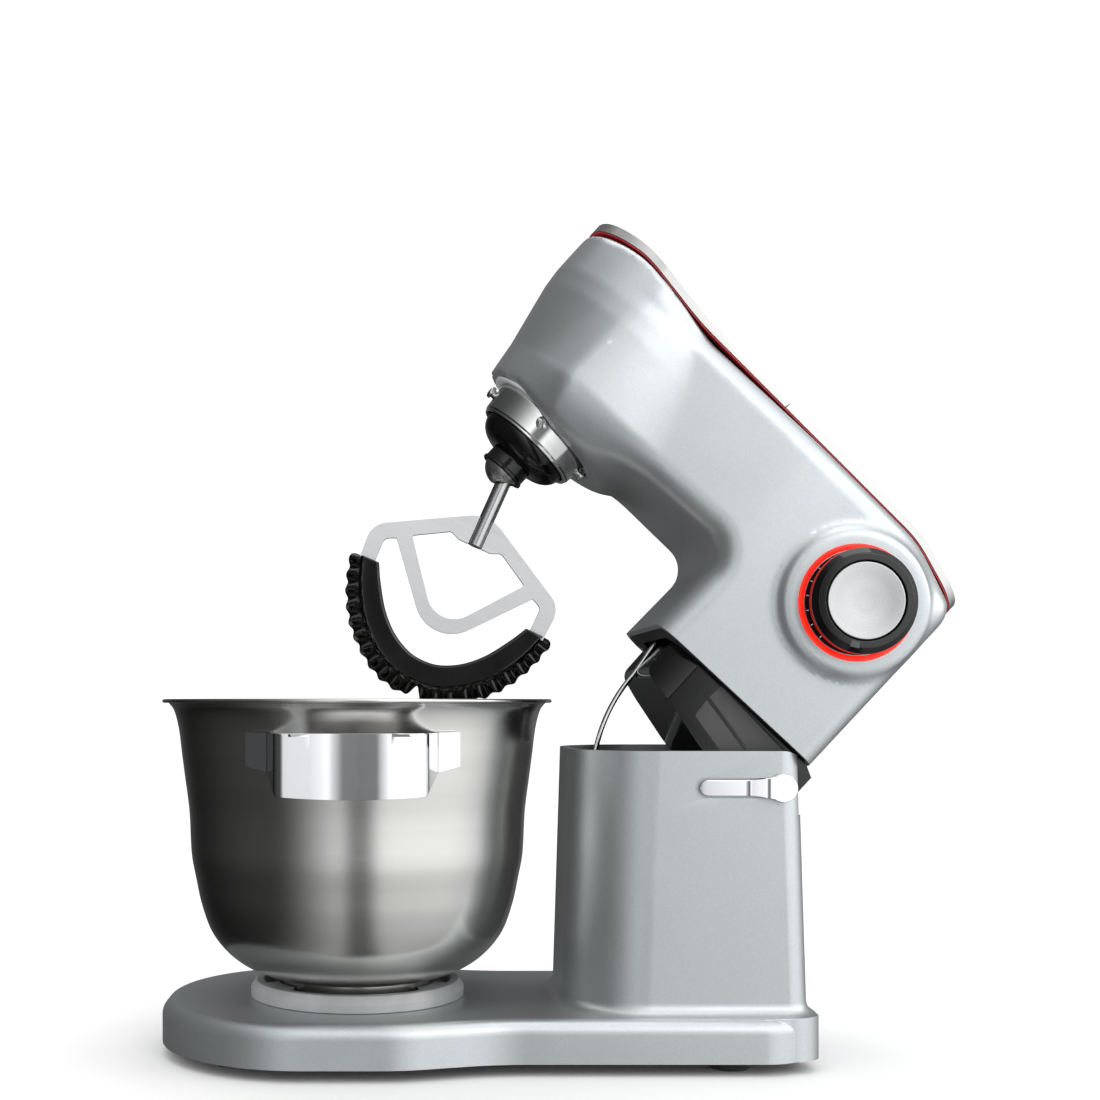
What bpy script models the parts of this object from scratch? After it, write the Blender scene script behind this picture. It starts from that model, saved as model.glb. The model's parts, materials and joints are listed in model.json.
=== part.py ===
"""Stand mixer: a tilting head on a base, a planetary drive with a slanted mixing tool, and a bowl.

Metres, +Z up. Places are given for the closed machine: X = 0 and Y = 0 on the bowl's axis, Z = 0 on
the worktop, the column at +X and the speed knob at -Y. The head is then tilted open about its hinge,
and the whole machine is moved so that the middle of its box stands on the origin.
"""

import math

import bmesh
import bpy
from mathutils import Matrix, Vector

# ---------------------------------------------------------------- driving dimensions
GAP = 0.0003  # between two pieces that touch
RUNNING = 0.0006  # between two pieces that move past each other
WALL = 0.003  # moulded housings
PLATE = 0.002  # sheet and small covers

# Hinge and tilt
PIVOT_X = 0.2314
PIVOT_Z = 0.1533
TILT_DEG = 43.0
SEAM_Z = 0.1736  # underside of the head shell over the base
PIN_RADIUS = 0.0048
PIN_BORE = 0.0032
BUSH_WALL = 0.0024

# Base
BODY_HALF_WIDTH = 0.066
BASE_FRONT_X = 0.1208
BASE_REAR_X = 0.2430
BASE_DRAFT = 0.0045
BASE_NOSE_RADIUS = 0.045
BASE_CORNER_RADIUS = 0.012
CHEEK = 0.005
REAR_NOTCH_Z = 0.138
WELL_FLOOR_Z = 0.084
DECK_Z = 0.030
SHELL_FOOT_Z = 0.0065
FOOT_FRONT_X = -0.112
FOOT_REAR_X = 0.250
FOOT_HALF_WIDTH = 0.092
FOOT_REAR_HALF_WIDTH = 0.078
FOOT_EDGE = 0.008
RUBBER_RADIUS = 0.012
RUBBER_INSET = 0.045

# Bowl and its seat
LIP_RADIUS = 0.113
LIP_Z = 0.2018
BOWL_WALL = 0.0012
BOWL_FLOOR_Z = 0.0430
BOWL_FOOT_RADIUS = 0.046
SEAT_RADIUS = 0.062
LUG_REACH = 0.005
LUG_COUNT = 3
LUG_ARC_DEG = 24.0
HANDLE_HALF_SPAN = 0.0555
HANDLE_PLATE_HALF = 0.0365
HANDLE_TOP_Z = 0.1850
HANDLE_HEIGHT = 0.0330
HANDLE_REACH = 0.1265
HANDLE_SHEET = 0.0018

# Head
HEAD_REAR_X = 0.2400
HEAD_EDGE = 0.013
HEAD_CORNER = 0.012
UNDERSIDE_Z = 0.2290
THROAT_X = 0.1225
THROAT_RADIUS = 0.014
SKIRT_Z = 0.2240
SKIRT_RADIUS = 0.0453
SKIRT_X = 0.0015
NOSE_RADIUS = 0.0578
COVER_HALF_WIDTH = 0.0535
COVER_EDGE = 0.0043
COVER_CROWN = 0.002
COVER_SHEET = 0.0018
COVER_SPLIT_X = 0.0930
COVER_SPLIT = 0.0010
TRIM = 0.0014
# Top edge of the cover from the nose to the rear: x, z, rounding radius
TOP_LEAD = (-0.2, 0.3245, 0)
TOP_EDGE = [
    (-0.0555, 0.3240, 0.006),
    (-0.0200, 0.3235, 0.090),
    (0.0280, 0.3160, 0.160),
    (0.1960, 0.3100, 0.070),
    (0.2385, 0.2960, 0.012),
]

# Speed knob
KNOB_X = 0.1920
KNOB_Z = 0.2535
BOSS_RADIUS = 0.0395
BOSS_HEIGHT = 0.0042
LAMP_OUTER = 0.0319
LAMP_INNER = 0.0287
KNOB_RADIUS = 0.0283
KNOB_BASE_RADIUS = 0.0250
KNOB_REACH = 0.0210
CAP_RADIUS = 0.0205
KNOB_SHAFT_RADIUS = 0.003

# Planetary drive, on the bowl's axis
RING_RADIUS = 0.0378
DRIVE_TOP_RADIUS = 0.0335
DRIVE_LOW_RADIUS = 0.0310
DRIVE_LOW_Z = 0.2052
STUD_RADIUS = 0.0036
STUD_Z = 0.2155
STUD_COUNT = 4
DOME_WALL = 0.0022
DOME_LOW_Z = 0.1940
HUB_RADIUS = 0.0135
HUB_HEIGHT = 0.0090
CUP_RADIUS = 0.0122
CARRIER_PLATE_Z = 0.2260
CARRIER_SHAFT_RADIUS = 0.003
GEAR_Z = 0.2320
RING_GEAR_INNER = 0.0250
RING_GEAR_OUTER = 0.0380
GEAR_FACE = 0.010
PINION_RADIUS = 0.0088

# Tool, measured along its slanted axis from the tool point
TOOL_X = 0.0046
TOOL_Z = 0.1833
TOOL_SLANT_DEG = 18.8
TOOL_SHAFT_RADIUS = 0.0045
TOOL_SHAFT_LENGTH = 0.0430
TOOL_GRIP = 0.0220
TOOL_PLATE = 0.0046
TOOL_CORE_WIDTH = 0.0080
WIPER_THICKNESS = 0.0095
SPINDLE_RADIUS = 0.0064

# Motor and belt
MOTOR_X = 0.1780
MOTOR_RADIUS = 0.0370
MOTOR_Z = 0.1860
MOTOR_HEIGHT = 0.0800
MOTOR_SHAFT_RADIUS = 0.004
BELT_Z = 0.2780
BELT_WIDTH = 0.008
BELT_THICKNESS = 0.0018
SMALL_PULLEY = 0.010
LARGE_PULLEY = 0.036
OUTLET_RADIUS = 0.017

# Cord inlet
INLET_RADIUS = 0.0075

# Release lever and head shroud
LEVER_LENGTH = 0.0443
LEVER_HUB = 0.0077
LEVER_HEIGHT = 0.0087
LEVER_THICKNESS = 0.0036
SLOT_LENGTH = 0.0472
SLOT_HEIGHT = 0.0109
SLOT_DEPTH = 0.0016
SHROUD_HALF_WIDTH = 0.0565
SHROUD_FRONT_X = 0.1360
SHROUD_REAR_X = HEAD_REAR_X - WALL - 0.0015
ROD_ARC_RADIUS = 0.0940
ROD_RADIUS = 0.0016
SHROUD_WALL = 0.0025

PLAN_LOW, PLAN_HIGH = 0.05, 0.35
HIGH_TOP = 0.400  # above every piece of the closed machine
ARC_STEP = math.radians(15)
FINE, MEDIUM, SMALL = 36, 24, 16  # sides of large, middling and small round pieces

HOMES = {}  # closed place of each parent empty
MATERIALS = {}


# ---------------------------------------------------------------- materials
def material(name, colour, roughness, metallic=0.0):
    if name not in MATERIALS:
        made = bpy.data.materials.new(name)
        made.use_nodes = True
        shader = made.node_tree.nodes["Principled BSDF"]
        shader.inputs["Base Color"].default_value = (*colour, 1.0)
        shader.inputs["Roughness"].default_value = roughness
        shader.inputs["Metallic"].default_value = metallic
        MATERIALS[name] = made
    return MATERIALS[name]


def silver_paint():
    return material("silver_paint", (0.52, 0.54, 0.55), 0.35, 0.6)


def brushed_steel():
    return material("brushed_steel", (0.55, 0.54, 0.52), 0.30, 1.0)


def chrome():
    return material("chrome", (0.80, 0.80, 0.80), 0.06, 1.0)


def cast_aluminium():
    return material("cast_aluminium", (0.58, 0.59, 0.60), 0.45, 0.8)


def black_gloss():
    return material("black_gloss", (0.012, 0.012, 0.013), 0.12)


def black_plastic():
    return material("black_plastic", (0.03, 0.03, 0.032), 0.55)


def grey_plastic():
    return material("grey_plastic", (0.42, 0.43, 0.44), 0.40)


def red_trim():
    return material("red_trim", (0.33, 0.012, 0.02), 0.30)


def red_lamp():
    return material("red_lamp", (0.85, 0.03, 0.01), 0.30)


def rubber():
    return material("rubber", (0.02, 0.02, 0.02), 0.80)


def brass():
    return material("brass", (0.60, 0.42, 0.18), 0.30, 1.0)


def machined_steel():
    return material("machined_steel", (0.48, 0.48, 0.50), 0.35, 1.0)


def circuit_green():
    return material("circuit_green", (0.02, 0.16, 0.06), 0.50)


# ---------------------------------------------------------------- outlines
def turning(before, corner, after):
    """Signed angle through which an outline turns at a corner."""
    first = Vector(corner[:2]) - Vector(before[:2])
    second = Vector(after[:2]) - Vector(corner[:2])
    return math.atan2(first.cross(second), first.dot(second))


def rounded(corners):
    """Closed outline through (x, y, radius) corners, with an arc at each corner that has a radius."""
    outline = []
    count = len(corners)
    for index, (x, y, radius) in enumerate(corners):
        before = corners[index - 1]
        after = corners[(index + 1) % count]
        turn = turning(before, (x, y), after)
        if radius <= 0 or abs(turn) < 1e-4:
            outline.append((x, y))
            continue
        back = (Vector(before[:2]) - Vector((x, y))).normalized()
        reach = radius * math.tan(abs(turn) / 2)
        start = Vector((x, y)) + back * reach
        side = Vector((-back.y, back.x)) * (-1 if turn > 0 else 1)
        centre = start + side * radius
        steps = max(2, math.ceil(abs(turn) / ARC_STEP - 1e-3))
        first = math.atan2(start.y - centre.y, start.x - centre.x)
        for step in range(steps + 1):
            angle = first + turn * step / steps
            outline.append((centre.x + radius * math.cos(angle), centre.y + radius * math.sin(angle)))
    return outline


def inset(corners, distance):
    """The corners of a counter-clockwise outline moved inwards, with their arcs kept concentric."""
    moved = []
    count = len(corners)
    for index, (x, y, radius) in enumerate(corners):
        before = Vector(corners[index - 1][:2])
        here = Vector((x, y))
        after = Vector(corners[(index + 1) % count][:2])
        first = (here - before).normalized()
        second = (after - here).normalized()
        turn = math.atan2(first.cross(second), first.dot(second))
        normal = Vector((-first.y, first.x)) + Vector((-second.y, second.x))
        shift = normal * (distance / (1 + first.dot(second)))
        kept = radius - distance if turn > 0 else radius + distance
        moved.append((x + shift.x, y + shift.y, max(kept, 0.0005) if radius > 0 else 0))
    return moved


def arc(centre_x, centre_y, radius, start_deg, end_deg, steps):
    """Points of an arc as (x, y), from one angle to the other."""
    angles = [math.radians(start_deg + (end_deg - start_deg) * step / steps) for step in range(steps + 1)]
    return [(centre_x + radius * math.cos(angle), centre_y + radius * math.sin(angle)) for angle in angles]


def both_sides(half):
    """Closed outline of (along, across) points from its half with across >= 0."""
    other = [(along, -across, *rest) for along, across, *rest in reversed(half) if across > 0]
    return half + other


def band(path, width):
    """Corners of an outline round a path of (x, y, radius) points, with half the width on each side."""
    left, right = [], []
    for index, (x, y, radius) in enumerate(path):
        before = Vector(path[max(index - 1, 0)][:2])
        after = Vector(path[min(index + 1, len(path) - 1)][:2])
        here = Vector((x, y))
        first = (here - before).normalized() if index else (after - here).normalized()
        second = (after - here).normalized() if index < len(path) - 1 else first
        normal = Vector((-first.y, first.x)) + Vector((-second.y, second.x))
        shift = normal * (width / 2 / (1 + first.dot(second)))
        left.append((x + shift.x, y + shift.y, radius))
        right.append((x - shift.x, y - shift.y, radius))
    return left + right[::-1]


# ---------------------------------------------------------------- meshes and objects
def empty(name, home, parent=None, turn_y_deg=0.0):
    """Parent empty at a place of the closed machine, on a joint's axis."""
    made = bpy.data.objects.new(name, None)
    made.empty_display_size = 0.02
    bpy.context.collection.objects.link(made)
    place(made, home, parent)
    made.rotation_euler = (0, math.radians(turn_y_deg), 0)
    HOMES[name] = Vector(home)
    return made


def place(obj, home, parent):
    """Puts an object under a parent, at a place given for the closed machine."""
    obj.parent = parent
    obj.location = Vector(home) - (HOMES[parent.name] if parent else Vector())


def finish_mesh(name, bm, skin, parent, home, smooth_deg=35):
    bmesh.ops.recalc_face_normals(bm, faces=bm.faces)
    mesh = bpy.data.meshes.new(name)
    bm.to_mesh(mesh)
    bm.free()
    mesh.shade_smooth()
    mesh.set_sharp_from_angle(angle=math.radians(smooth_deg))
    obj = bpy.data.objects.new(name, mesh)
    bpy.context.collection.objects.link(obj)
    place(obj, home, parent)
    if skin:
        mesh.materials.append(skin)
    else:
        obj.hide_render = True
        obj.display_type = "WIRE"
    return obj


def loft(name, rings, skin, parent, home=(0, 0, 0)):
    """Closed solid through rings of equally many 3-D points, capped at both ends."""
    bm = bmesh.new()
    loops = [[bm.verts.new(point) for point in ring] for ring in rings]
    bm.faces.new(loops[0][::-1])
    bm.faces.new(loops[-1])
    count = len(rings[0])
    for low, high in zip(loops, loops[1:]):
        for index in range(count):
            after = (index + 1) % count
            bm.faces.new((low[index], low[after], high[after], high[index]))
    return finish_mesh(name, bm, skin, parent, home)


def upright(name, outline, low, high, skin, parent, home=(0, 0, 0)):
    """Plan outline of (x, y) extruded along Z."""
    rings = [[(x, y, level) for x, y in outline] for level in (low, high)]
    return loft(name, rings, skin, parent, home)


def crosswise(name, outline, low, high, skin, parent, home=(0, 0, 0)):
    """Side outline of (x, z) extruded along Y."""
    rings = [[(x, level, z) for x, z in outline] for level in (low, high)]
    return loft(name, rings, skin, parent, home)


def soft_sided(name, corners, half_width, edge, skin, parent, home=(0, 0, 0), steps=3):
    """Side outline extruded along Y, with its two rims rounded by a quarter turn."""
    rings = []
    levels = [(step / steps) * math.pi / 2 for step in range(steps + 1)]
    turns = [(-1, angle) for angle in reversed(levels)] + [(1, angle) for angle in levels]
    for sign, angle in turns:
        y = sign * (half_width - edge + edge * math.sin(angle))
        outline = rounded(inset(corners, edge * (1 - math.cos(angle))))
        rings.append([(x, y, z) for x, z in outline])
    return loft(name, rings, skin, parent, home)


def turned(name, profile, skin, parent, home=(0, 0, 0), steps=MEDIUM, axis="Z"):
    """Solid turned about its own axis from a closed profile of (radius, height) points."""
    bm = bmesh.new()
    columns = []
    for radius, height in profile:
        count = 1 if radius < 1e-7 else steps
        angles = [2 * math.pi * step / steps for step in range(count)]
        columns.append([bm.verts.new((radius * math.cos(a), radius * math.sin(a), height)) for a in angles])
    for first, second in zip(columns, columns[1:] + columns[:1]):
        if len(first) == 1 and len(second) == 1:
            continue
        for step in range(steps):
            after = (step + 1) % steps
            ring = [first[step % len(first)], first[after % len(first)]]
            ring += [second[after % len(second)], second[step % len(second)]]
            bm.faces.new(list(dict.fromkeys(ring)))
    if axis == "Y":
        bmesh.ops.rotate(bm, verts=bm.verts, matrix=Matrix.Rotation(math.pi / 2, 3, "X"))
    return finish_mesh(name, bm, skin, parent, home)


def ring_profile(inner, outer, low, high):
    return [(inner, low), (outer, low), (outer, high), (inner, high)]


def disc_profile(radius, low, high):
    return [(0, low), (radius, low), (radius, high), (0, high)]


def block(name, low, high, skin, parent, home=(0, 0, 0)):
    outline = [(low[0], low[1]), (high[0], low[1]), (high[0], high[1]), (low[0], high[1])]
    return upright(name, outline, low[2], high[2], skin, parent, home)


def tube(name, points, radius, skin, parent, home=(0, 0, 0), sides=2):
    """Round bar along 3-D points."""
    curve = bpy.data.curves.new(name, "CURVE")
    curve.dimensions = "3D"
    curve.bevel_depth = radius
    curve.bevel_resolution = sides
    curve.use_fill_caps = True
    spline = curve.splines.new("POLY")
    spline.points.add(len(points) - 1)
    for target, point in zip(spline.points, points):
        target.co = (*point, 1.0)
    curve.materials.append(skin)
    obj = bpy.data.objects.new(name, curve)
    bpy.context.collection.objects.link(obj)
    place(obj, home, parent)
    return obj


def combine(target, other, operation):
    modifier = target.modifiers.new(f"{operation.lower()} {other.name}", "BOOLEAN")
    modifier.operation = operation
    modifier.solver = "EXACT"
    modifier.object = other
    return target


def cut(target, other):
    return combine(target, other, "DIFFERENCE")


def join(target, other):
    return combine(target, other, "UNION")


def common(target, other):
    return combine(target, other, "INTERSECT")


# ---------------------------------------------------------------- base
def column_plan(draft=0.0):
    """Plan corners of the column, longer fore and aft by its draft."""
    front, rear = BASE_FRONT_X - draft, BASE_REAR_X + draft
    return [
        (front, -BODY_HALF_WIDTH, BASE_NOSE_RADIUS),
        (rear, -BODY_HALF_WIDTH, BASE_CORNER_RADIUS),
        (rear, BODY_HALF_WIDTH, BASE_CORNER_RADIUS),
        (front, BODY_HALF_WIDTH, BASE_NOSE_RADIUS),
    ]


def foot_plan():
    waist = BASE_FRONT_X - 0.045
    half = [
        (FOOT_REAR_X, FOOT_REAR_HALF_WIDTH, 0.030),
        (waist, FOOT_REAR_HALF_WIDTH, 0.120),
        (waist - 0.050, FOOT_HALF_WIDTH, 0.080),
        (FOOT_FRONT_X, FOOT_HALF_WIDTH, 0.085),
    ]
    return half + [(x, -y, radius) for x, y, radius in reversed(half)]


def base_volume(name, skin, parent):
    """Column and foot as one solid, before it is hollowed."""
    top = SEAM_Z - GAP
    low = SHELL_FOOT_Z
    rings = [[(x, y, low) for x, y in rounded(column_plan(BASE_DRAFT))]]
    rings.append([(x, y, top) for x, y in rounded(column_plan())])
    column = loft(name, rings, skin, parent)
    reach = top - PIVOT_Z
    end_deg = math.degrees(math.acos((BASE_REAR_X - PIVOT_X) / reach))
    side = [(FOOT_FRONT_X, low - WALL), (FOOT_REAR_X, low - WALL), (FOOT_REAR_X, PIVOT_Z)]
    side += [(BASE_REAR_X + GAP, PIVOT_Z)] + arc(PIVOT_X, PIVOT_Z, reach, end_deg, 90, 6)
    side += [(FOOT_FRONT_X, top)]
    common(column, crosswise("column_side", side, -0.2, 0.2, None, parent))
    levels = [(0, 0)] + [(math.radians(30 * step), 1) for step in range(4)]
    foot_rings = []
    for angle, upper in levels:
        level = DECK_Z - FOOT_EDGE + FOOT_EDGE * math.sin(angle) if upper else low
        shrink = FOOT_EDGE * (1 - math.cos(angle)) if upper else 0
        foot_rings.append([(x, y, level) for x, y in rounded(inset(foot_plan(), shrink))])
    return join(column, loft("foot_volume", foot_rings, None, parent))


def bearing_hole():
    return PIN_RADIUS + BUSH_WALL + GAP


def pivot_disc(name, radius, near, far, skin, parent):
    """Round piece on the hinge axis between two distances from the middle, the near side being positive."""
    return turned(name, disc_profile(radius, far, near), skin, parent, (PIVOT_X, 0, PIVOT_Z), MEDIUM, "Y")


def pivot_ring(name, inner, outer, near, far, skin, parent):
    profile = ring_profile(inner, outer, far, near)
    return turned(name, profile, skin, parent, (PIVOT_X, 0, PIVOT_Z), MEDIUM, "Y")


def slot_outline(length, height, hub=0.0):
    """Side outline of the lever or of its recess: a bar with a round free end and a round hub."""
    half = height / 2
    free = arc(-length + half, 0, half, 90, 270, 8)
    if not hub:
        return free + arc(0, 0, half, 270, 450, 8)
    flare_deg = 42
    return free + [(-hub - 0.010, -half)] + arc(0, 0, hub, 180 + flare_deg, 540 - flare_deg, SMALL) + [
        (-hub - 0.010, half)
    ]


def make_base(stand):
    shell = base_volume("base_shell", silver_paint(), stand)
    inner_column = inset(column_plan(), CHEEK)
    cut(shell, upright("column_hollow", rounded(inner_column), 0, HIGH_TOP, None, stand))
    inner_foot = rounded(inset(foot_plan(), WALL))
    cut(shell, upright("foot_hollow", inner_foot, 0, DECK_Z - WALL, None, stand))
    notch_half = BODY_HALF_WIDTH - CHEEK
    notch_low = (PIVOT_X - 0.010, -notch_half, REAR_NOTCH_Z)
    notch_high = (FOOT_REAR_X + 0.010, notch_half, HIGH_TOP)
    cut(shell, block("rear_notch", notch_low, notch_high, None, stand))
    near = BODY_HALF_WIDTH + 0.010
    far = BODY_HALF_WIDTH - 0.0015
    cut(shell, pivot_disc("near_bearing_hole", bearing_hole(), near, notch_half - 0.010, None, stand))
    cut(shell, pivot_disc("far_bearing_pocket", bearing_hole(), -notch_half + 0.010, -far, None, stand))
    recess = [(PIVOT_X + x, PIVOT_Z + z) for x, z in slot_outline(SLOT_LENGTH, SLOT_HEIGHT)]
    side = BODY_HALF_WIDTH
    cut(shell, crosswise("lever_recess", recess, -side - 0.010, -side + SLOT_DEPTH, None, stand))
    inlet = turned("inlet_hole", disc_profile(INLET_RADIUS, -0.020, 0.020), None, stand, inlet_place())
    inlet.rotation_euler = (0, math.pi / 2, 0)
    return cut(shell, inlet)


def inlet_place():
    return (BASE_REAR_X, 0.030, 0.060)


def make_inlet(stand):
    profile = [(0.0042, -0.008), (INLET_RADIUS - GAP, -0.008), (INLET_RADIUS - GAP, 0.0048)]
    profile += [(INLET_RADIUS + 0.003, 0.0048), (INLET_RADIUS + 0.003, 0.0065), (0.0042, 0.0065)]
    gland = turned("cord_gland", profile, rubber(), stand, inlet_place(), SMALL)
    gland.rotation_euler = (0, math.pi / 2, 0)


def rubber_places():
    front = FOOT_FRONT_X + RUBBER_INSET
    rear = FOOT_REAR_X - RUBBER_INSET
    return {
        "foot_front_near": (front, -FOOT_HALF_WIDTH + RUBBER_INSET),
        "foot_front_far": (front, FOOT_HALF_WIDTH - RUBBER_INSET),
        "foot_rear_near": (rear, -FOOT_REAR_HALF_WIDTH + RUBBER_INSET / 2),
        "foot_rear_far": (rear, FOOT_REAR_HALF_WIDTH - RUBBER_INSET / 2),
    }


def make_underside(stand):
    plan = rounded(inset(foot_plan(), WALL + GAP))
    low = SHELL_FOOT_Z + 0.0005
    plate = upright("base_plate", plan, low, low + PLATE, black_plastic(), stand)
    profile = [(0, 0), (RUBBER_RADIUS - 0.0015, 0), (RUBBER_RADIUS, 0.002)]
    profile += [(RUBBER_RADIUS - 0.001, low - GAP)]
    profile += [(0, low - GAP)]
    for name, (x, y) in rubber_places().items():
        turned(name, profile, rubber(), stand, (x, y, 0), MEDIUM)
    return plate


def make_base_screws(stand):
    """Pan heads of the screws that hold the base plate."""
    top = SHELL_FOOT_Z + 0.0005 - GAP
    half = FOOT_REAR_HALF_WIDTH - RUBBER_INSET
    profile = [(0, top - 0.0016), (0.0024, top - 0.0016), (0.0034, top - 0.0006), (0.0034, top), (0, top)]
    spots = [(x, y, 0) for x in (FOOT_FRONT_X + 0.090, FOOT_REAR_X - 0.090) for y in (-half, half)]
    for index, spot in enumerate(spots):
        turned(f"base_screw_{index + 1}", profile, machined_steel(), stand, spot, SMALL)


def make_well(stand):
    """Dark liner of the well that the shroud and the arc rod swing into, open above and behind."""
    shrink = CHEEK + GAP
    outer = inset(column_plan(), shrink)
    inner = rounded(inset(column_plan(), shrink + PLATE))
    liner = upright("well_liner", rounded(outer), WELL_FLOOR_Z, SEAM_Z - 0.004, black_plastic(), stand)
    cut(liner, upright("liner_hollow", inner, WELL_FLOOR_Z + PLATE, HIGH_TOP, None, stand))
    half = BODY_HALF_WIDTH
    low = (PIVOT_X - 0.012, -half, REAR_NOTCH_Z - 0.024)
    cut(liner, block("liner_rear", low, (FOOT_REAR_X, half, HIGH_TOP), None, stand))
    return liner


def make_hinge(stand):
    cheek_inner = BODY_HALF_WIDTH - CHEEK
    bush_outer = PIN_RADIUS + BUSH_WALL
    inner = PIN_RADIUS + GAP
    pivot_ring("hinge_bush_near", inner, bush_outer, BODY_HALF_WIDTH - 0.0004, cheek_inner, brass(), stand)
    pocket = BODY_HALF_WIDTH - 0.0015 - GAP
    pivot_ring("hinge_bush_far", inner, bush_outer, -cheek_inner, -pocket, brass(), stand)
    ear = SHROUD_HALF_WIDTH - WALL - 0.0075
    outer, inner = BODY_HALF_WIDTH - 0.0006, ear - 0.002
    pivot_ring("hinge_pin_near", PIN_BORE, PIN_RADIUS, outer, inner, machined_steel(), stand)
    pivot_disc("hinge_pin_far", PIN_RADIUS, -(ear - 0.026), -pocket, machined_steel(), stand)


def make_spring(pivot):
    """Coils of the lift spring round the far hinge pin, with one leg up to the yoke."""
    wire = 0.0009
    radius = PIN_RADIUS + wire + RUNNING
    turns_count, steps = 4, 10
    start = SHROUD_HALF_WIDTH - WALL - 0.0075 - 0.020
    points = [(PIVOT_X - radius, start, PIVOT_Z + 0.012)]
    for step in range(turns_count * steps + 1):
        angle = math.pi + 2 * math.pi * step / steps
        y = start + 0.0030 * step / steps
        points.append((PIVOT_X + radius * math.cos(angle), y, PIVOT_Z + radius * math.sin(angle)))
    return tube("lift_spring", points, wire, machined_steel(), pivot, sides=1)


def make_bowl_seat(stand):
    low = DECK_Z + GAP
    floor = low + 0.0032
    wall_inner = BOWL_FOOT_RADIUS + LUG_REACH + 0.0030
    profile = [(0, low), (SEAT_RADIUS, low), (SEAT_RADIUS, floor + 0.002)]
    profile += [(SEAT_RADIUS - 0.003, floor + 0.0058)]
    profile += [(wall_inner, floor + 0.0058), (wall_inner, floor), (0, floor)]
    seat = turned("bowl_seat", profile, grey_plastic(), stand, steps=FINE)
    tab_inner = BOWL_FOOT_RADIUS + 0.0010
    for index in range(LUG_COUNT):
        middle = 360 * index / LUG_COUNT + 90
        tab = sector(tab_inner, wall_inner + 0.001, middle, LUG_ARC_DEG)
        join(seat, upright(f"seat_tab_{index + 1}", tab, floor + 0.0042, floor + 0.0056, None, stand))
    return seat


def sector(inner, outer, middle_deg, span_deg):
    """Plan outline of part of a ring about the origin."""
    first, last = middle_deg - span_deg / 2, middle_deg + span_deg / 2
    return arc(0, 0, outer, first, last, 5) + arc(0, 0, inner, last, first, 5)


# ---------------------------------------------------------------- bowl
def bowl_wall_curve():
    """Outer side of the bowl from the lip down to the edge of its floor, as (radius, z)."""
    floor_z = BOWL_FLOOR_Z - BOWL_WALL
    flare = [(LIP_RADIUS - 0.0050, LIP_Z - 0.0028), (LIP_RADIUS - 0.0080, LIP_Z - 0.0098)]
    side = [(0.1036, LIP_Z - 0.0168), (0.1018, LIP_Z - 0.0308), (0.1000, LIP_Z - 0.0448), (0.0972, 0.1330)]
    belly = [(0.0962, 0.1130), (0.0937, 0.0990), (0.0902, 0.0830), (0.0842, 0.0672), (0.0738, 0.0546)]
    return flare + side + belly + [(0.0608, 0.0462), (BOWL_FOOT_RADIUS, floor_z)]


def thickened(curve, thickness):
    """The same (radius, z) curve moved towards the inside of a bowl."""
    moved = []
    for index, (radius, z) in enumerate(curve):
        before = Vector(curve[max(index - 1, 0)])
        after = Vector(curve[min(index + 1, len(curve) - 1)])
        along = (after - before).normalized()
        moved.append((radius + along.y * thickness, z - along.x * thickness))
    return moved


def make_bowl(axis):
    outer = bowl_wall_curve()
    inner = thickened(outer, BOWL_WALL)
    inner[-1] = (BOWL_FOOT_RADIUS, BOWL_FLOOR_Z)
    lip = [(LIP_RADIUS - 0.0020, LIP_Z - 0.0002), (LIP_RADIUS, LIP_Z - 0.0016)]
    lip += [(LIP_RADIUS - 0.0012, LIP_Z - 0.0026)]
    profile = [(0, BOWL_FLOOR_Z)] + inner[::-1] + lip + outer + [(0, BOWL_FLOOR_Z - BOWL_WALL)]
    turned("bowl", profile[::-1], brushed_steel(), axis, steps=FINE + 4)
    top = BOWL_FLOOR_Z - BOWL_WALL - GAP
    low = DECK_Z + GAP + 0.0032 + RUNNING
    ring = turned(
        "bowl_foot_ring",
        ring_profile(BOWL_FOOT_RADIUS - 0.0045, BOWL_FOOT_RADIUS - 0.0005, low, top),
        brushed_steel(),
        axis,
        steps=FINE + 4,
    )
    for index in range(LUG_COUNT):
        middle = 360 * index / LUG_COUNT + 90
        lug = sector(BOWL_FOOT_RADIUS - 0.0026, BOWL_FOOT_RADIUS + LUG_REACH, middle, LUG_ARC_DEG - 4)
        join(ring, upright(f"foot_lug_{index + 1}", lug, low + 0.0007, low + 0.0026, None, axis))
    return ring


def handle_path():
    """Plan route of the handle's sheet, from one wall tab round the front plate to the other."""
    wall = 0.1036 + HANDLE_SHEET
    tab_in = math.sqrt(wall**2 - HANDLE_HALF_SPAN**2)
    tab_out = math.sqrt(wall**2 - (HANDLE_HALF_SPAN - 0.012) ** 2)
    half = [
        (-HANDLE_HALF_SPAN - 0.0005, -tab_in - 0.0006, 0),
        (-HANDLE_HALF_SPAN + 0.0120, -tab_out - 0.0006, 0.002),
        (-HANDLE_PLATE_HALF - 0.0015, -HANDLE_REACH + 0.0035, 0.006),
        (-0.0120, -HANDLE_REACH + HANDLE_SHEET / 2, 0.090),
    ]
    return half + [(-x, y, radius) for x, y, radius in reversed(half)]


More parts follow.
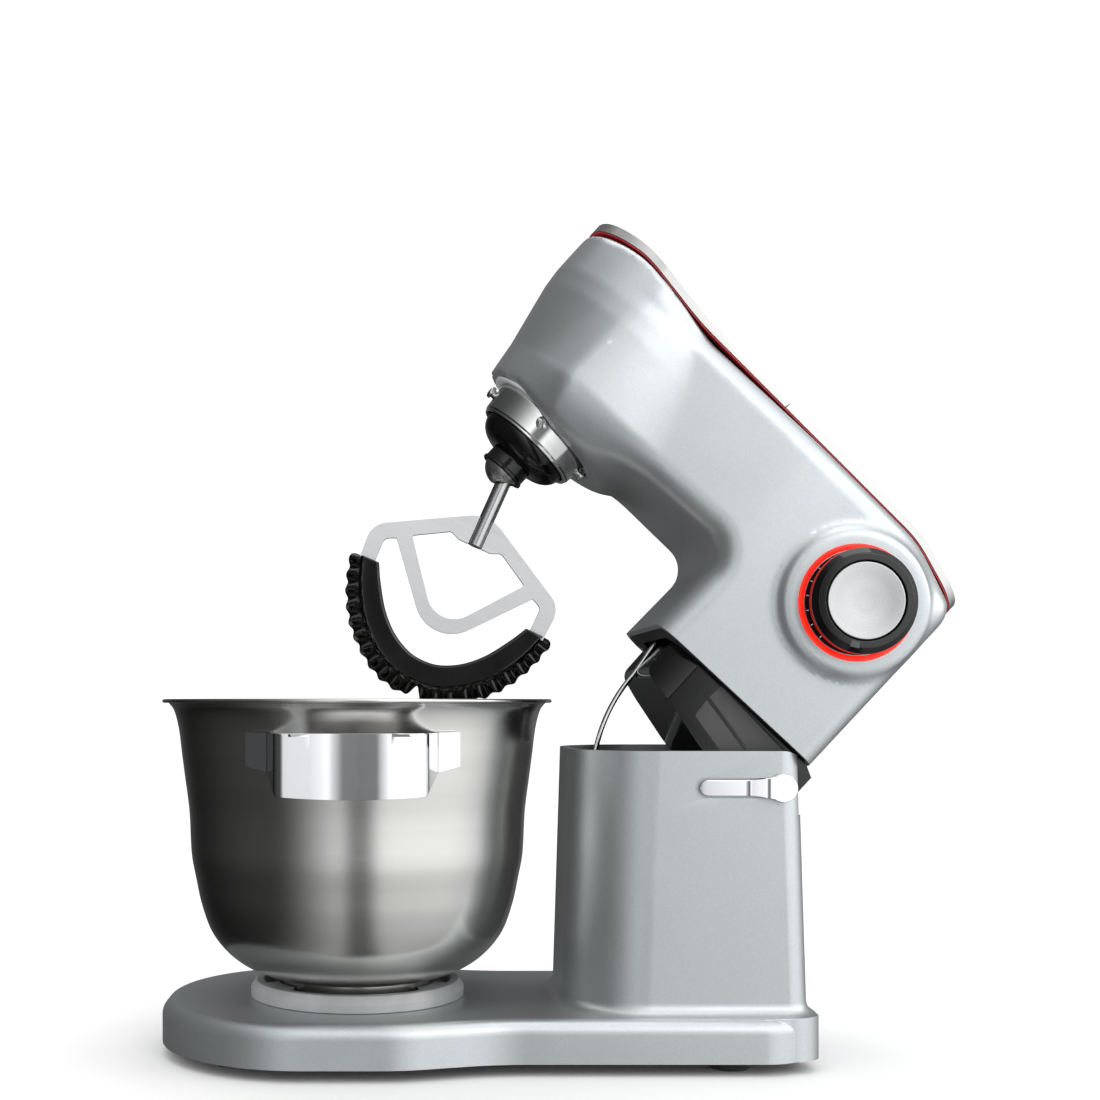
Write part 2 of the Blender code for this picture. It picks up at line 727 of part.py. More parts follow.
def make_handle(axis):
    plan = rounded(band(handle_path(), HANDLE_SHEET))
    low = HANDLE_TOP_Z - HANDLE_HEIGHT
    sheet = upright("bowl_handle", plan, low, HANDLE_TOP_Z - 0.001, chrome(), axis)
    bow = [
        (-HANDLE_PLATE_HALF - 0.004, low - 0.003, 0.003),
        (0, low - 0.004, 0.150),
        (HANDLE_PLATE_HALF + 0.004, low - 0.003, 0.003),
        (HANDLE_HALF_SPAN + 0.004, low + 0.012, 0.002),
        (HANDLE_HALF_SPAN + 0.004, HANDLE_TOP_Z - 0.001, 0),
        (-HANDLE_HALF_SPAN - 0.004, HANDLE_TOP_Z - 0.001, 0),
        (-HANDLE_HALF_SPAN - 0.004, low + 0.012, 0.002),
    ]
    common(sheet, crosswise("handle_face", rounded(bow), -0.2, 0, None, axis))
    lip_half = HANDLE_PLATE_HALF - 0.004
    lip = [
        (-lip_half, -HANDLE_REACH + 0.0012, 0.002),
        (lip_half, -HANDLE_REACH + 0.0012, 0.002),
        (lip_half - 0.003, -HANDLE_REACH + 0.0090, 0.003),
        (-lip_half + 0.003, -HANDLE_REACH + 0.0090, 0.003),
    ]
    top = HANDLE_TOP_Z
    return join(sheet, upright("handle_lip", rounded(lip), top - 0.0028, top - 0.0013, None, axis))


# ---------------------------------------------------------------- head
def lowered(corners, amount):
    return [(x, z - amount, radius) for x, z, radius in corners]


def shell_top():
    return lowered(TOP_EDGE, COVER_EDGE + TRIM)


def arm_side(low):
    """Side outline of the arm and neck behind the nose barrel, counter-clockwise in (x, z)."""
    top = shell_top()
    corners = [(HEAD_REAR_X, low, 0), (HEAD_REAR_X, top[-1][1] - 0.0030, 0.016)] + top[-2:0:-1]
    corners += [(-0.080, top[1][1] + 0.002, 0), (-0.080, UNDERSIDE_Z, 0)]
    return corners + [(THROAT_X + 0.0010, UNDERSIDE_Z, THROAT_RADIUS), (THROAT_X - 0.0010, low, 0)]


def arm_plan():
    return [
        (0.000, -NOSE_RADIUS + 0.004, 0),
        (0.120, -BODY_HALF_WIDTH, 0.200),
        (HEAD_REAR_X, -BODY_HALF_WIDTH, HEAD_CORNER),
        (HEAD_REAR_X, BODY_HALF_WIDTH, HEAD_CORNER),
        (0.120, BODY_HALF_WIDTH, 0.200),
        (0.000, NOSE_RADIUS - 0.004, 0),
    ]


def head_volume(name, shrink, low, skin, parent):
    """Nose barrel and arm trimmed to the side outline, shrunk by a wall thickness all round."""
    side = inset(arm_side(SEAM_Z - 0.030), shrink)
    edge = HEAD_EDGE - shrink
    arm = soft_sided(name, side, BODY_HALF_WIDTH - shrink, edge, skin, parent)
    plan = rounded(inset(arm_plan(), shrink))
    common(arm, upright(f"{name}_plan", plan, low, HIGH_TOP, None, parent))
    under = SKIRT_Z + shrink
    profile = [(0, under), (SKIRT_RADIUS - shrink, under), (0.0480 - shrink, 0.2430)]
    profile += [(0.0535 - shrink, 0.2680)]
    profile += [(NOSE_RADIUS - shrink, 0.2920), (NOSE_RADIUS - shrink, 0.3400), (0, 0.3400)]
    barrel = turned(f"{name}_barrel", profile, None, parent, (SKIRT_X, 0, 0), FINE)
    behind, ahead = [(0.30, 0.20, 0), (0.30, 0.285, 0)], [(-0.10, 0.3183, 0), (-0.10, 0.20, 0)]
    top = inset(behind + shell_top()[::-1] + ahead, shrink)
    common(barrel, crosswise(f"{name}_top", rounded(top), -0.1, 0.1, None, parent))
    return join(arm, barrel)


def make_head_shell(pivot):
    shell = head_volume("head_shell", 0, SEAM_Z, silver_paint(), pivot)
    cut(shell, head_volume("head_hollow", WALL, SEAM_Z - 0.010, None, pivot))
    drive = disc_profile(RING_RADIUS + GAP, SKIRT_Z - 0.020, SKIRT_Z + 0.020)
    cut(shell, turned("drive_opening", drive, None, pivot, (0, 0, 0), FINE))
    for label, x in (("front", 0.0), ("rear", MOTOR_X)):
        hole = disc_profile(OUTLET_RADIUS + GAP, 0.290, 0.340)
        cut(shell, turned(f"{label}_outlet_hole", hole, None, pivot, (x, 0, 0), MEDIUM))
    shaft_hole = disc_profile(KNOB_SHAFT_RADIUS + RUNNING, -0.020, 0.020)
    place_of = (KNOB_X, -BODY_HALF_WIDTH, KNOB_Z)
    return cut(shell, turned("knob_shaft_hole", shaft_hole, None, pivot, place_of, SMALL, "Y"))


def top_plan(shrink):
    half = COVER_HALF_WIDTH
    plan = [
        (TOP_EDGE[0][0], -half, half - 0.004),
        (TOP_EDGE[-1][0], -half, 0.018),
        (TOP_EDGE[-1][0], half, 0.018),
        (TOP_EDGE[0][0], half, half - 0.004),
    ]
    return rounded(inset(plan, shrink))


def top_layer(name, low, high, start, end, shrink, crown, skin, parent):
    """Crowned layer along the head's top edge, between two depths below the edge."""
    upper = [point for point in rounded([TOP_LEAD] + TOP_EDGE + [(0.30, 0.20, 0)])[1:-1]]
    spots = [point for point in upper if start < point[0] < end]
    spots = [(start, height_at(upper, start))] + spots + [(end, height_at(upper, end))]
    rings = []
    for step in range(9):
        across = -1 + step / 4
        raised = crown * (1 - across * across)
        ring = [(x, across * COVER_HALF_WIDTH, z - low) for x, z in spots]
        ring += [(x, across * COVER_HALF_WIDTH, z - high + raised) for x, z in reversed(spots)]
        rings.append(ring)
    layer = loft(name, rings, skin, parent)
    return common(layer, upright(f"{name}_plan", top_plan(shrink), 0.2, HIGH_TOP, None, parent))


def height_at(curve, x):
    for (x0, z0), (x1, z1) in zip(curve, curve[1:]):
        if x0 <= x <= x1:
            return z0 + (z1 - z0) * (x - x0) / (x1 - x0)
    return curve[0][1] if x < curve[0][0] else curve[-1][1]


def make_trim(pivot):
    start, end = TOP_EDGE[0][0], TOP_EDGE[-1][0]
    low, high = COVER_EDGE + TRIM - GAP, COVER_EDGE + GAP
    trim = top_layer("trim_line", low, high, start, end, 0.0002, 0, red_trim(), pivot)
    return cut(trim, upright("trim_hollow", top_plan(0.0045), 0.2, HIGH_TOP, None, pivot))


def make_cover(name, start, end, parent):
    cover = top_layer(name, COVER_EDGE, 0, start, end, 0, COVER_CROWN, brushed_steel(), parent)
    sheet = COVER_SHEET
    hollow = f"{name}_hollow"
    inside = top_layer(hollow, 0.020, sheet, start + sheet, end - sheet, sheet, COVER_CROWN, None, parent)
    return cut(cover, inside)


def shroud_plan(shrink):
    """Plan outline that follows the well's rounded front corners and runs on past the rear."""
    clear = CHEEK + GAP + PLATE + RUNNING + shrink
    front, side = BASE_FRONT_X + clear, BODY_HALF_WIDTH - clear
    radius = BASE_NOSE_RADIUS - clear
    return rounded([(front, -side, radius), (0.27, -side, 0), (0.27, side, 0), (front, side, radius)])


def make_shroud(pivot):
    top = SEAM_Z + 0.0030
    corners = [
        (SHROUD_FRONT_X, top, 0),
        (SHROUD_FRONT_X + 0.0008, 0.1520, 0.004),
        (0.1890, 0.1395, 0.060),
        (0.2415, 0.1405, 0.0105),
        (0.2415, SEAM_Z - 0.0040, 0),
        (SHROUD_REAR_X, SEAM_Z - 0.0010, 0),
        (SHROUD_REAR_X, top, 0),
    ]
    tall = [(x, z + (0.02 if z == top else 0), radius) for x, z, radius in corners]
    shroud = soft_sided("head_shroud", tall, SHROUD_HALF_WIDTH, 0.003, black_gloss(), pivot)
    common(shroud, upright("shroud_plan", shroud_plan(0), 0.1, HIGH_TOP, None, pivot))
    inner = inset(tall, SHROUD_WALL)
    hollow = soft_sided("shroud_hollow", inner, SHROUD_HALF_WIDTH - WALL, 0.001, None, pivot)
    inner_plan = upright("hollow_plan", shroud_plan(SHROUD_WALL), PLAN_LOW, PLAN_HIGH, None, pivot)
    cut(shroud, common(hollow, inner_plan))
    cut(shroud, block("shroud_top", (0, -0.1, top), (0.3, 0.1, HIGH_TOP), None, pivot))
    slot_end = (SHROUD_FRONT_X + 0.0042, 0.0026, top + 0.01)
    slot = block("rod_slot", (0.1, -0.0026, 0.1), slot_end, None, pivot)
    cut(shroud, slot)
    hole = PIN_RADIUS + RUNNING
    return cut(shroud, pivot_disc("shroud_pin_hole", hole, 0.1, -0.1, None, pivot))


def make_hinge_arms(pivot):
    """Steel yoke of the head: two ears on the hinge pins and the beam that joins them."""
    outer = SHROUD_HALF_WIDTH - WALL - GAP
    inner = outer - 0.0070
    beam_z = SEAM_Z + 0.0060
    radius = PIN_RADIUS + 0.0026
    beam_top = beam_z + 0.004
    ear = arc(PIVOT_X, PIVOT_Z, radius, 180, 330, 8)
    ear += [(SHROUD_REAR_X - WALL, SEAM_Z - 0.002), (SHROUD_REAR_X - WALL, beam_top), (0.205, beam_top)]
    yoke = crosswise("hinge_yoke", ear, -outer, outer, machined_steel(), pivot)
    cut(yoke, block("yoke_gap", (0.1, -inner, 0.1), (0.3, inner, beam_z), None, pivot))
    hole = PIN_RADIUS + RUNNING
    return cut(yoke, pivot_disc("yoke_pin_hole", hole, 0.1, -0.1, None, pivot))


def make_chin(pivot):
    """Plate that closes the neck round the shroud."""
    neck = [
        (THROAT_X - 0.001, -BODY_HALF_WIDTH, HEAD_EDGE + 0.001),
        (HEAD_REAR_X, -BODY_HALF_WIDTH, HEAD_CORNER),
        (HEAD_REAR_X, BODY_HALF_WIDTH, HEAD_CORNER),
        (THROAT_X - 0.001, BODY_HALF_WIDTH, HEAD_EDGE + 0.001),
    ]
    outer = rounded(inset(neck, WALL + 0.0010))
    plate = upright("chin_plate", outer, SEAM_Z + 0.0006, SEAM_Z + 0.0026, black_plastic(), pivot)
    half = SHROUD_HALF_WIDTH + GAP
    low = (SHROUD_FRONT_X - 0.0034, -half, 0.1)
    gap = block("chin_gap", low, (HEAD_REAR_X + 0.01, half, 0.3), None, pivot)
    gap_plan = upright("chin_gap_plan", shroud_plan(-GAP), PLAN_LOW, PLAN_HIGH, None, pivot)
    return cut(plate, common(gap, gap_plan))


def make_rod(pivot):
    angles = [math.radians(221 - 39 * step / 16) for step in range(17)]
    points = [
        (PIVOT_X + ROD_ARC_RADIUS * math.cos(a), 0, PIVOT_Z + ROD_ARC_RADIUS * math.sin(a)) for a in angles
    ]
    points += [(0.1362, 0, 0.1600), (0.1350, 0, 0.1680), (0.1346, 0, 0.1790)]
    return tube("arc_rod", points, ROD_RADIUS, chrome(), pivot)


def make_outlets(pivot):
    for label, x in (("front", 0.0), ("rear", MOTOR_X)):
        top = height_at(rounded([TOP_LEAD] + TOP_EDGE), x) - COVER_EDGE - TRIM + 0.0010
        low = top - 0.0120
        profile = [(0.0095, low), (OUTLET_RADIUS, low), (OUTLET_RADIUS, top), (OUTLET_RADIUS - 0.002, top)]
        profile += [(OUTLET_RADIUS - 0.002, low + 0.002), (0.0095, low + 0.002)]
        turned(f"{label}_outlet", profile, grey_plastic(), pivot, (x, 0, 0), MEDIUM)


# ---------------------------------------------------------------- motor, belt and board
def make_motor(pivot):
    low, high = MOTOR_Z, MOTOR_Z + MOTOR_HEIGHT
    hole = MOTOR_SHAFT_RADIUS + 0.0010
    profile = [(hole, low), (MOTOR_RADIUS - 0.004, low), (MOTOR_RADIUS, low + 0.004)]
    profile += [(MOTOR_RADIUS, high - 0.006)]
    profile += [(MOTOR_RADIUS - 0.006, high), (hole, high)]
    turned("motor_can", profile, machined_steel(), pivot, (MOTOR_X, 0, 0), MEDIUM)
    plan = [(-0.036, -0.034, 0.010), (0.2240, -0.034, 0.010)]
    plan += [(0.2240, 0.034, 0.010), (-0.036, 0.034, 0.010)]
    low = MOTOR_Z + MOTOR_HEIGHT + GAP
    bed = upright("gearbox_plate", rounded(plan), low, low + 0.004, cast_aluminium(), pivot)
    bearing = disc_profile(CARRIER_SHAFT_RADIUS + 0.0065, 0.2, 0.3)
    cut(bed, turned("bearing_seat", bearing, None, pivot, (0, 0, 0), MEDIUM))
    shaft = disc_profile(MOTOR_SHAFT_RADIUS + 0.0015, 0.2, 0.3)
    cut(bed, turned("motor_shaft_hole", shaft, None, pivot, (MOTOR_X, 0, 0), SMALL))
    ring = ring_profile(CARRIER_SHAFT_RADIUS + GAP, CARRIER_SHAFT_RADIUS + 0.0062, low - 0.001, low + 0.005)
    turned("carrier_bearing", ring, machined_steel(), pivot, (0, 0, 0), MEDIUM)


def belt_outline(grow):
    """Plan outline of a belt round the two pulleys, moved outwards by grow."""
    large, small = LARGE_PULLEY + grow, SMALL_PULLEY + grow
    lean = math.degrees(math.acos((large - small) / MOTOR_X))
    return arc(0, 0, large, lean, 360 - lean, SMALL) + arc(MOTOR_X, 0, small, -lean, lean, 10)


def make_belt(pivot):
    low = BELT_Z + 0.0006
    high = low + BELT_WIDTH - 0.0012
    belt = upright("drive_belt", belt_outline(GAP + BELT_THICKNESS), low, high, rubber(), pivot)
    return cut(belt, upright("belt_inside", belt_outline(GAP), 0.1, HIGH_TOP, None, pivot))


def make_rotor(axis):
    low = MOTOR_Z + 0.010
    top = height_at(rounded([TOP_LEAD] + TOP_EDGE), MOTOR_X) - COVER_EDGE - TRIM - 0.008
    shaft = disc_profile(MOTOR_SHAFT_RADIUS, low, top)
    turned("motor_shaft", shaft, machined_steel(), axis, (MOTOR_X, 0, 0), SMALL)
    bore = MOTOR_SHAFT_RADIUS + GAP
    rim, high = SMALL_PULLEY + 0.002, BELT_Z + BELT_WIDTH
    profile = [(bore, BELT_Z - 0.001), (rim, BELT_Z - 0.001), (rim, BELT_Z), (SMALL_PULLEY, BELT_Z)]
    profile += [(SMALL_PULLEY, high), (rim, high), (rim, high + 0.001), (bore, high + 0.001)]
    turned("motor_pulley", profile, cast_aluminium(), axis, (MOTOR_X, 0, 0), SMALL)


def make_board(pivot):
    y = -BODY_HALF_WIDTH + WALL + 0.0050
    low = (KNOB_X - 0.030, y, KNOB_Z - 0.030)
    high = (KNOB_X + 0.030, y + 0.0016, KNOB_Z + 0.022)
    board = block("control_board", low, high, circuit_green(), pivot)
    hole = disc_profile(KNOB_SHAFT_RADIUS + RUNNING, -0.030, 0.0)
    centre = (KNOB_X, -BODY_HALF_WIDTH, KNOB_Z)
    return cut(board, turned("board_hole", hole, None, pivot, centre, SMALL, "Y"))


# ---------------------------------------------------------------- planetary drive
def make_drive_rings(pivot):
    low, high = SKIRT_Z - 0.0015, SKIRT_Z + WALL
    profile = ring_profile(DRIVE_TOP_RADIUS + GAP, RING_RADIUS, low, high)
    profile[1:2] = [(RING_RADIUS - 0.0012, low), (RING_RADIUS, low + 0.0012)]
    turned("skirt_ring", profile, grey_plastic(), pivot, (0, 0, 0), FINE)
    wall = 0.0018
    top = SKIRT_Z + WALL
    inner_top, inner_low = DRIVE_TOP_RADIUS - wall, DRIVE_LOW_RADIUS - wall
    profile = [(inner_low, DRIVE_LOW_Z), (DRIVE_LOW_RADIUS - 0.0004, DRIVE_LOW_Z)]
    profile += [(DRIVE_LOW_RADIUS, DRIVE_LOW_Z + 0.0008), (DRIVE_TOP_RADIUS, DRIVE_LOW_Z + 0.0150)]
    profile += [(DRIVE_TOP_RADIUS, top), (inner_top, top), (inner_top, DRIVE_LOW_Z + 0.0150)]
    ring = turned("drive_ring", profile, chrome(), pivot, (0, 0, 0), FINE)
    add_studs(ring, pivot)
    gear = ring_profile(RING_GEAR_INNER, RING_GEAR_OUTER, GEAR_Z, GEAR_Z + GEAR_FACE)
    turned("ring_gear", gear, machined_steel(), pivot, (0, 0, 0), FINE)


def add_studs(ring, pivot):
    """Bayonet studs for attachments round the chrome ring, each a ball on its shank."""
    angles = [math.radians(20 * step) for step in range(3, 10)]
    ball = [(STUD_RADIUS * math.sin(a), -STUD_RADIUS * math.cos(a)) for a in angles]
    profile = [(0, -0.0030), (ball[0][0], -0.0030)] + ball
    reach = DRIVE_TOP_RADIUS + 0.0018
    for index in range(STUD_COUNT):
        angle = 2 * math.pi * index / STUD_COUNT
        spot = (reach * math.cos(angle), reach * math.sin(angle), STUD_Z)
        stud = turned(f"stud_{index + 1}", profile, None, pivot, spot, SMALL)
        stud.rotation_euler = (0, math.pi / 2, angle)
        join(ring, stud)


def slanted(obj):
    obj.rotation_euler = (0, -math.radians(TOOL_SLANT_DEG), 0)
    return obj


def make_carrier(axis):
    rim = DRIVE_LOW_RADIUS - 0.0018 - 0.0012
    top = CARRIER_PLATE_Z
    inner, depth = HUB_RADIUS + 0.0003, DRIVE_LOW_Z - DOME_LOW_Z
    angles = [math.radians(15 * step) for step in range(7)]
    bulge = [
        (inner + (rim - HUB_RADIUS) * math.cos(a), DRIVE_LOW_Z - depth * math.sin(a)) for a in angles
    ]
    wall = DOME_WALL
    profile = bulge + [(HUB_RADIUS - 0.0045, DOME_LOW_Z), (HUB_RADIUS - 0.0045, DOME_LOW_Z + wall)]
    profile += [(r - wall, z + wall * 0.9) for r, z in reversed(bulge[:-1])]
    profile += [(rim - wall, top - 0.003), (0, top - 0.003), (0, top), (rim, top)]
    dome = turned("planet_dome", profile, black_gloss(), axis, steps=FINE)
    hole = disc_profile(SPINDLE_RADIUS + RUNNING, -0.05, 0.09)
    cut(dome, slanted(turned("spindle_way", hole, None, axis, (TOOL_X, 0, TOOL_Z), SMALL)))
    low = DOME_LOW_Z - HUB_HEIGHT - GAP
    ring = ring_profile(CUP_RADIUS + GAP, HUB_RADIUS, low, DOME_LOW_Z - GAP)
    turned("hub_ring", ring, black_gloss(), axis, steps=MEDIUM)
    centre = low + 0.0045
    cup = [(0, centre - CUP_RADIUS)]
    angles = [math.radians(15 * step) for step in range(1, 7)]
    cup += [(CUP_RADIUS * math.sin(a), centre - CUP_RADIUS * math.cos(a)) for a in angles]
    cup += [(CUP_RADIUS, DOME_LOW_Z - GAP), (0, DOME_LOW_Z - GAP)]
    cup_body = turned("tool_cup", cup, cast_aluminium(), axis, steps=MEDIUM)
    cut(cup_body, slanted(turned("cup_way", hole, None, axis, (TOOL_X, 0, TOOL_Z), SMALL)))
    shaft_low, shaft_high = top + GAP, BELT_Z + BELT_WIDTH + 0.004
    shaft = disc_profile(CARRIER_SHAFT_RADIUS, shaft_low, shaft_high)
    turned("carrier_shaft", shaft, machined_steel(), axis, steps=SMALL)
    bore, rim, high = CARRIER_SHAFT_RADIUS + GAP, LARGE_PULLEY + 0.002, BELT_Z + BELT_WIDTH
    pulley = [(bore, BELT_Z - 0.001), (rim, BELT_Z - 0.001), (rim, BELT_Z), (LARGE_PULLEY, BELT_Z)]
    pulley += [(LARGE_PULLEY, high), (rim, high), (rim, high + 0.001), (bore, high + 0.001)]
    turned("carrier_pulley", pulley, cast_aluminium(), axis, steps=MEDIUM)


def make_spindle(axis):
    """Slanted spindle that holds the tool, and its pinion inside the ring gear."""
    length = (GEAR_Z + GEAR_FACE - TOOL_Z) / math.cos(math.radians(TOOL_SLANT_DEG))
    bore = TOOL_SHAFT_RADIUS + GAP
    low, depth = -0.0010, TOOL_GRIP + 0.0010
    profile = [(bore, low), (SPINDLE_RADIUS, low), (SPINDLE_RADIUS, length - GEAR_FACE - 0.001)]
    profile += [(SPINDLE_RADIUS - 0.002, length - GEAR_FACE - 0.001), (SPINDLE_RADIUS - 0.002, length)]
    profile += [(0, length), (0, depth), (bore, depth)]
    turned("tool_spindle", profile, machined_steel(), axis, (TOOL_X, 0, TOOL_Z), MEDIUM)
    ring = ring_profile(SPINDLE_RADIUS - 0.002 + GAP, PINION_RADIUS, length - GEAR_FACE, length - 0.001)
    turned("planet_pinion", ring, brass(), axis, (TOOL_X, 0, TOOL_Z), MEDIUM)


# ---------------------------------------------------------------- tool
def frame_outer():
    """Half outline of the whisk frame as (along the axis, across, radius)."""
    return [
        (0.0252, 0.0000, 0),
        (0.0252, 0.0090, 0.012),
        (0.0290, 0.0215, 0.030),
        (0.0470, 0.0510, 0.014),
        (0.0600, 0.0587, 0.016),
        (0.0740, 0.0587, 0),
        (0.0740, 0.0497, 0),
        (0.0660, 0.0497, 0.006),
        (0.0545, 0.0455, 0.004),
        (0.0860, 0.0330, 0.022),
        (0.0940, 0.0000, 0),
    ]


def opening_half():
    return [
        (0.0420, 0.0000, 0),
        (0.0420, 0.0096, 0.002),
        (0.0370, 0.0165, 0.003),
        (0.0490, 0.0370, 0.005),
        (0.0790, 0.0270, 0.018),
        (0.0840, 0.0000, 0),
    ]


def core_path():
    half = [(0.0700, 0.0542, 0), (0.0880, 0.0505, 0.020), (0.1085, 0.0370, 0.020), (0.1240, 0.0150, 0.020)]
    return half + [(u, -v, radius) for u, v, radius in reversed(half)]


def flat_plate(name, corners, thickness, skin, parent):
    """Plate in the plane of the tool, from (along, across, radius) corners."""
    outline = [(across, -along) for along, across in rounded(corners)]
    return crosswise(name, outline, -thickness / 2, thickness / 2, skin, parent, (TOOL_X, 0, TOOL_Z))


def make_tool(axis):
    plate = flat_plate("whisk_frame", both_sides(frame_outer()), TOOL_PLATE, cast_aluminium(), axis)
    cut(plate, flat_plate("frame_opening", both_sides(opening_half()), TOOL_PLATE * 2, None, axis))
    core = band(core_path(), TOOL_CORE_WIDTH)
    join(plate, flat_plate("frame_core", core, TOOL_PLATE - 0.0002, None, axis))
    socket = disc_profile(TOOL_SHAFT_RADIUS + GAP, -TOOL_SHAFT_LENGTH, 0)
    cut(plate, turned("shaft_seat", socket, None, axis, (TOOL_X, 0, TOOL_Z), SMALL))
    shaft = [(0, -TOOL_SHAFT_LENGTH), (TOOL_SHAFT_RADIUS - 0.0004, -TOOL_SHAFT_LENGTH)]
    shaft += [(TOOL_SHAFT_RADIUS, -TOOL_SHAFT_LENGTH + 0.0006), (TOOL_SHAFT_RADIUS, TOOL_GRIP - 0.001)]
    shaft += [(TOOL_SHAFT_RADIUS - 0.001, TOOL_GRIP), (0, TOOL_GRIP)]
    turned("tool_shaft", shaft, machined_steel(), axis, (TOOL_X, 0, TOOL_Z), SMALL)
    wiper = [
        (0.1165, 0.0000, 0),
        (0.1145, 0.0130, 0.030),
        (0.0845, 0.0405, 0.030),
        (0.0745, 0.0470, 0.003),
        (0.0750, 0.0655, 0.003),
        (0.0945, 0.0595, 0.080),
        (0.1205, 0.0438, 0.040),
        (0.1385, 0.0190, 0.016),
        (0.1400, 0.0080, 0.004),
        (0.1335, 0.0000, 0),
    ]
    blade = flat_plate("silicone_wiper", both_sides(wiper), WIPER_THICKNESS, rubber(), axis)
    path = [(0.0600, 0.0542, 0)] + core_path() + [(0.0600, -0.0542, 0)]
    channel = band(path, TOOL_CORE_WIDTH + 2 * GAP)
    hollow = flat_plate("wiper_channel", channel, TOOL_PLATE + 2 * GAP, None, axis)
    return cut(blade, hollow)


# ---------------------------------------------------------------- knob and lever
def make_knob_surround(pivot):
    home = (KNOB_X, -BODY_HALF_WIDTH, KNOB_Z)
    inner = LAMP_OUTER + GAP
    boss = [(inner, GAP), (BOSS_RADIUS, GAP), (BOSS_RADIUS - 0.0015, BOSS_HEIGHT - 0.0012)]
    boss += [(BOSS_RADIUS - 0.004, BOSS_HEIGHT), (inner, BOSS_HEIGHT)]
    turned("knob_boss", boss, silver_paint(), pivot, home, FINE, "Y")
    lamp = [(LAMP_INNER, GAP), (LAMP_OUTER, GAP), (LAMP_OUTER, BOSS_HEIGHT + 0.0006)]
    lamp += [(LAMP_INNER + 0.0012, BOSS_HEIGHT + 0.0012), (LAMP_INNER, BOSS_HEIGHT + 0.0006)]
    turned("lamp_ring", lamp, red_lamp(), pivot, home, FINE, "Y")
    window = ring_profile(KNOB_SHAFT_RADIUS + RUNNING, LAMP_INNER - GAP, GAP, BOSS_HEIGHT)
    turned("dial_window", window, black_gloss(), pivot, home, FINE, "Y")


def make_knob(axis):
    home = (KNOB_X, -BODY_HALF_WIDTH, KNOB_Z)
    low, high = BOSS_HEIGHT + RUNNING, KNOB_REACH
    bore = KNOB_SHAFT_RADIUS + GAP
    seat = high - 0.0016
    body = [(bore, low), (KNOB_BASE_RADIUS, low), (KNOB_RADIUS, low + 0.0075), (KNOB_RADIUS, high - 0.0030)]
    body += [(KNOB_RADIUS - 0.0022, high), (CAP_RADIUS + 0.0010, high)]
    body += [(CAP_RADIUS + GAP, seat), (bore, seat)]
    turned("speed_knob", body, black_gloss(), axis, home, FINE, "Y")
    cap = [(0, seat + GAP), (CAP_RADIUS, seat + GAP), (CAP_RADIUS, high - 0.0002), (0, high - 0.0002)]
    turned("knob_cap", cap, brushed_steel(), axis, home, FINE, "Y")
    shaft = disc_profile(KNOB_SHAFT_RADIUS, -0.0120, seat - GAP)
    turned("knob_shaft", shaft, machined_steel(), axis, home, SMALL, "Y")


def make_lever(axis):
    side = -BODY_HALF_WIDTH - RUNNING
    outline = [(PIVOT_X + x, PIVOT_Z + z) for x, z in slot_outline(LEVER_LENGTH, LEVER_HEIGHT, LEVER_HUB)]
    crosswise("release_lever", outline, side - LEVER_THICKNESS, side, chrome(), axis)
    near = BODY_HALF_WIDTH + RUNNING - GAP
    inner = SHROUD_HALF_WIDTH - WALL - 0.0200
    turned_shaft = disc_profile(PIN_BORE - RUNNING, inner, near)
    home = (PIVOT_X, 0, PIVOT_Z)
    turned("lever_shaft", turned_shaft, machined_steel(), axis, home, SMALL, "Y")
    nose = [(-0.0060, -0.0042, 0.001), (0.0045, -0.0042, 0.003)]
    nose += [(0.0045, 0.0042, 0.003), (-0.0060, 0.0042, 0.001)]
    outline = [(PIVOT_X + x, PIVOT_Z + z) for x, z in rounded(nose)]
    cam = crosswise("latch_cam", outline, -inner - 0.0060, -inner - 0.0010, machined_steel(), axis)
    hole = disc_profile(PIN_BORE - RUNNING + GAP, 0, 0.1)
    return cut(cam, turned("cam_hole", hole, None, axis, home, SMALL, "Y"))


# ---------------------------------------------------------------- assembly
def clear_scene():
    for obj in list(bpy.data.objects):
        bpy.data.objects.remove(obj, do_unlink=True)


def centre_on_origin(stand):
    """Moves the machine so that the middle of its box is over the origin."""
    bpy.context.view_layer.update()
    graph = bpy.context.evaluated_depsgraph_get()
    low, high = Vector((9, 9, 9)), Vector((-9, -9, -9))
    for obj in bpy.data.objects:
        if obj.type == "EMPTY" or obj.hide_render:
            continue
        shape = obj.evaluated_get(graph)
        mesh = shape.to_mesh()
        for vert in mesh.vertices:
            point = obj.matrix_world @ vert.co
            low = Vector(map(min, low, point))
            high = Vector(map(max, high, point))
        shape.to_mesh_clear()
    stand.location = (-(low.x + high.x) / 2, -(low.y + high.y) / 2, -low.z)


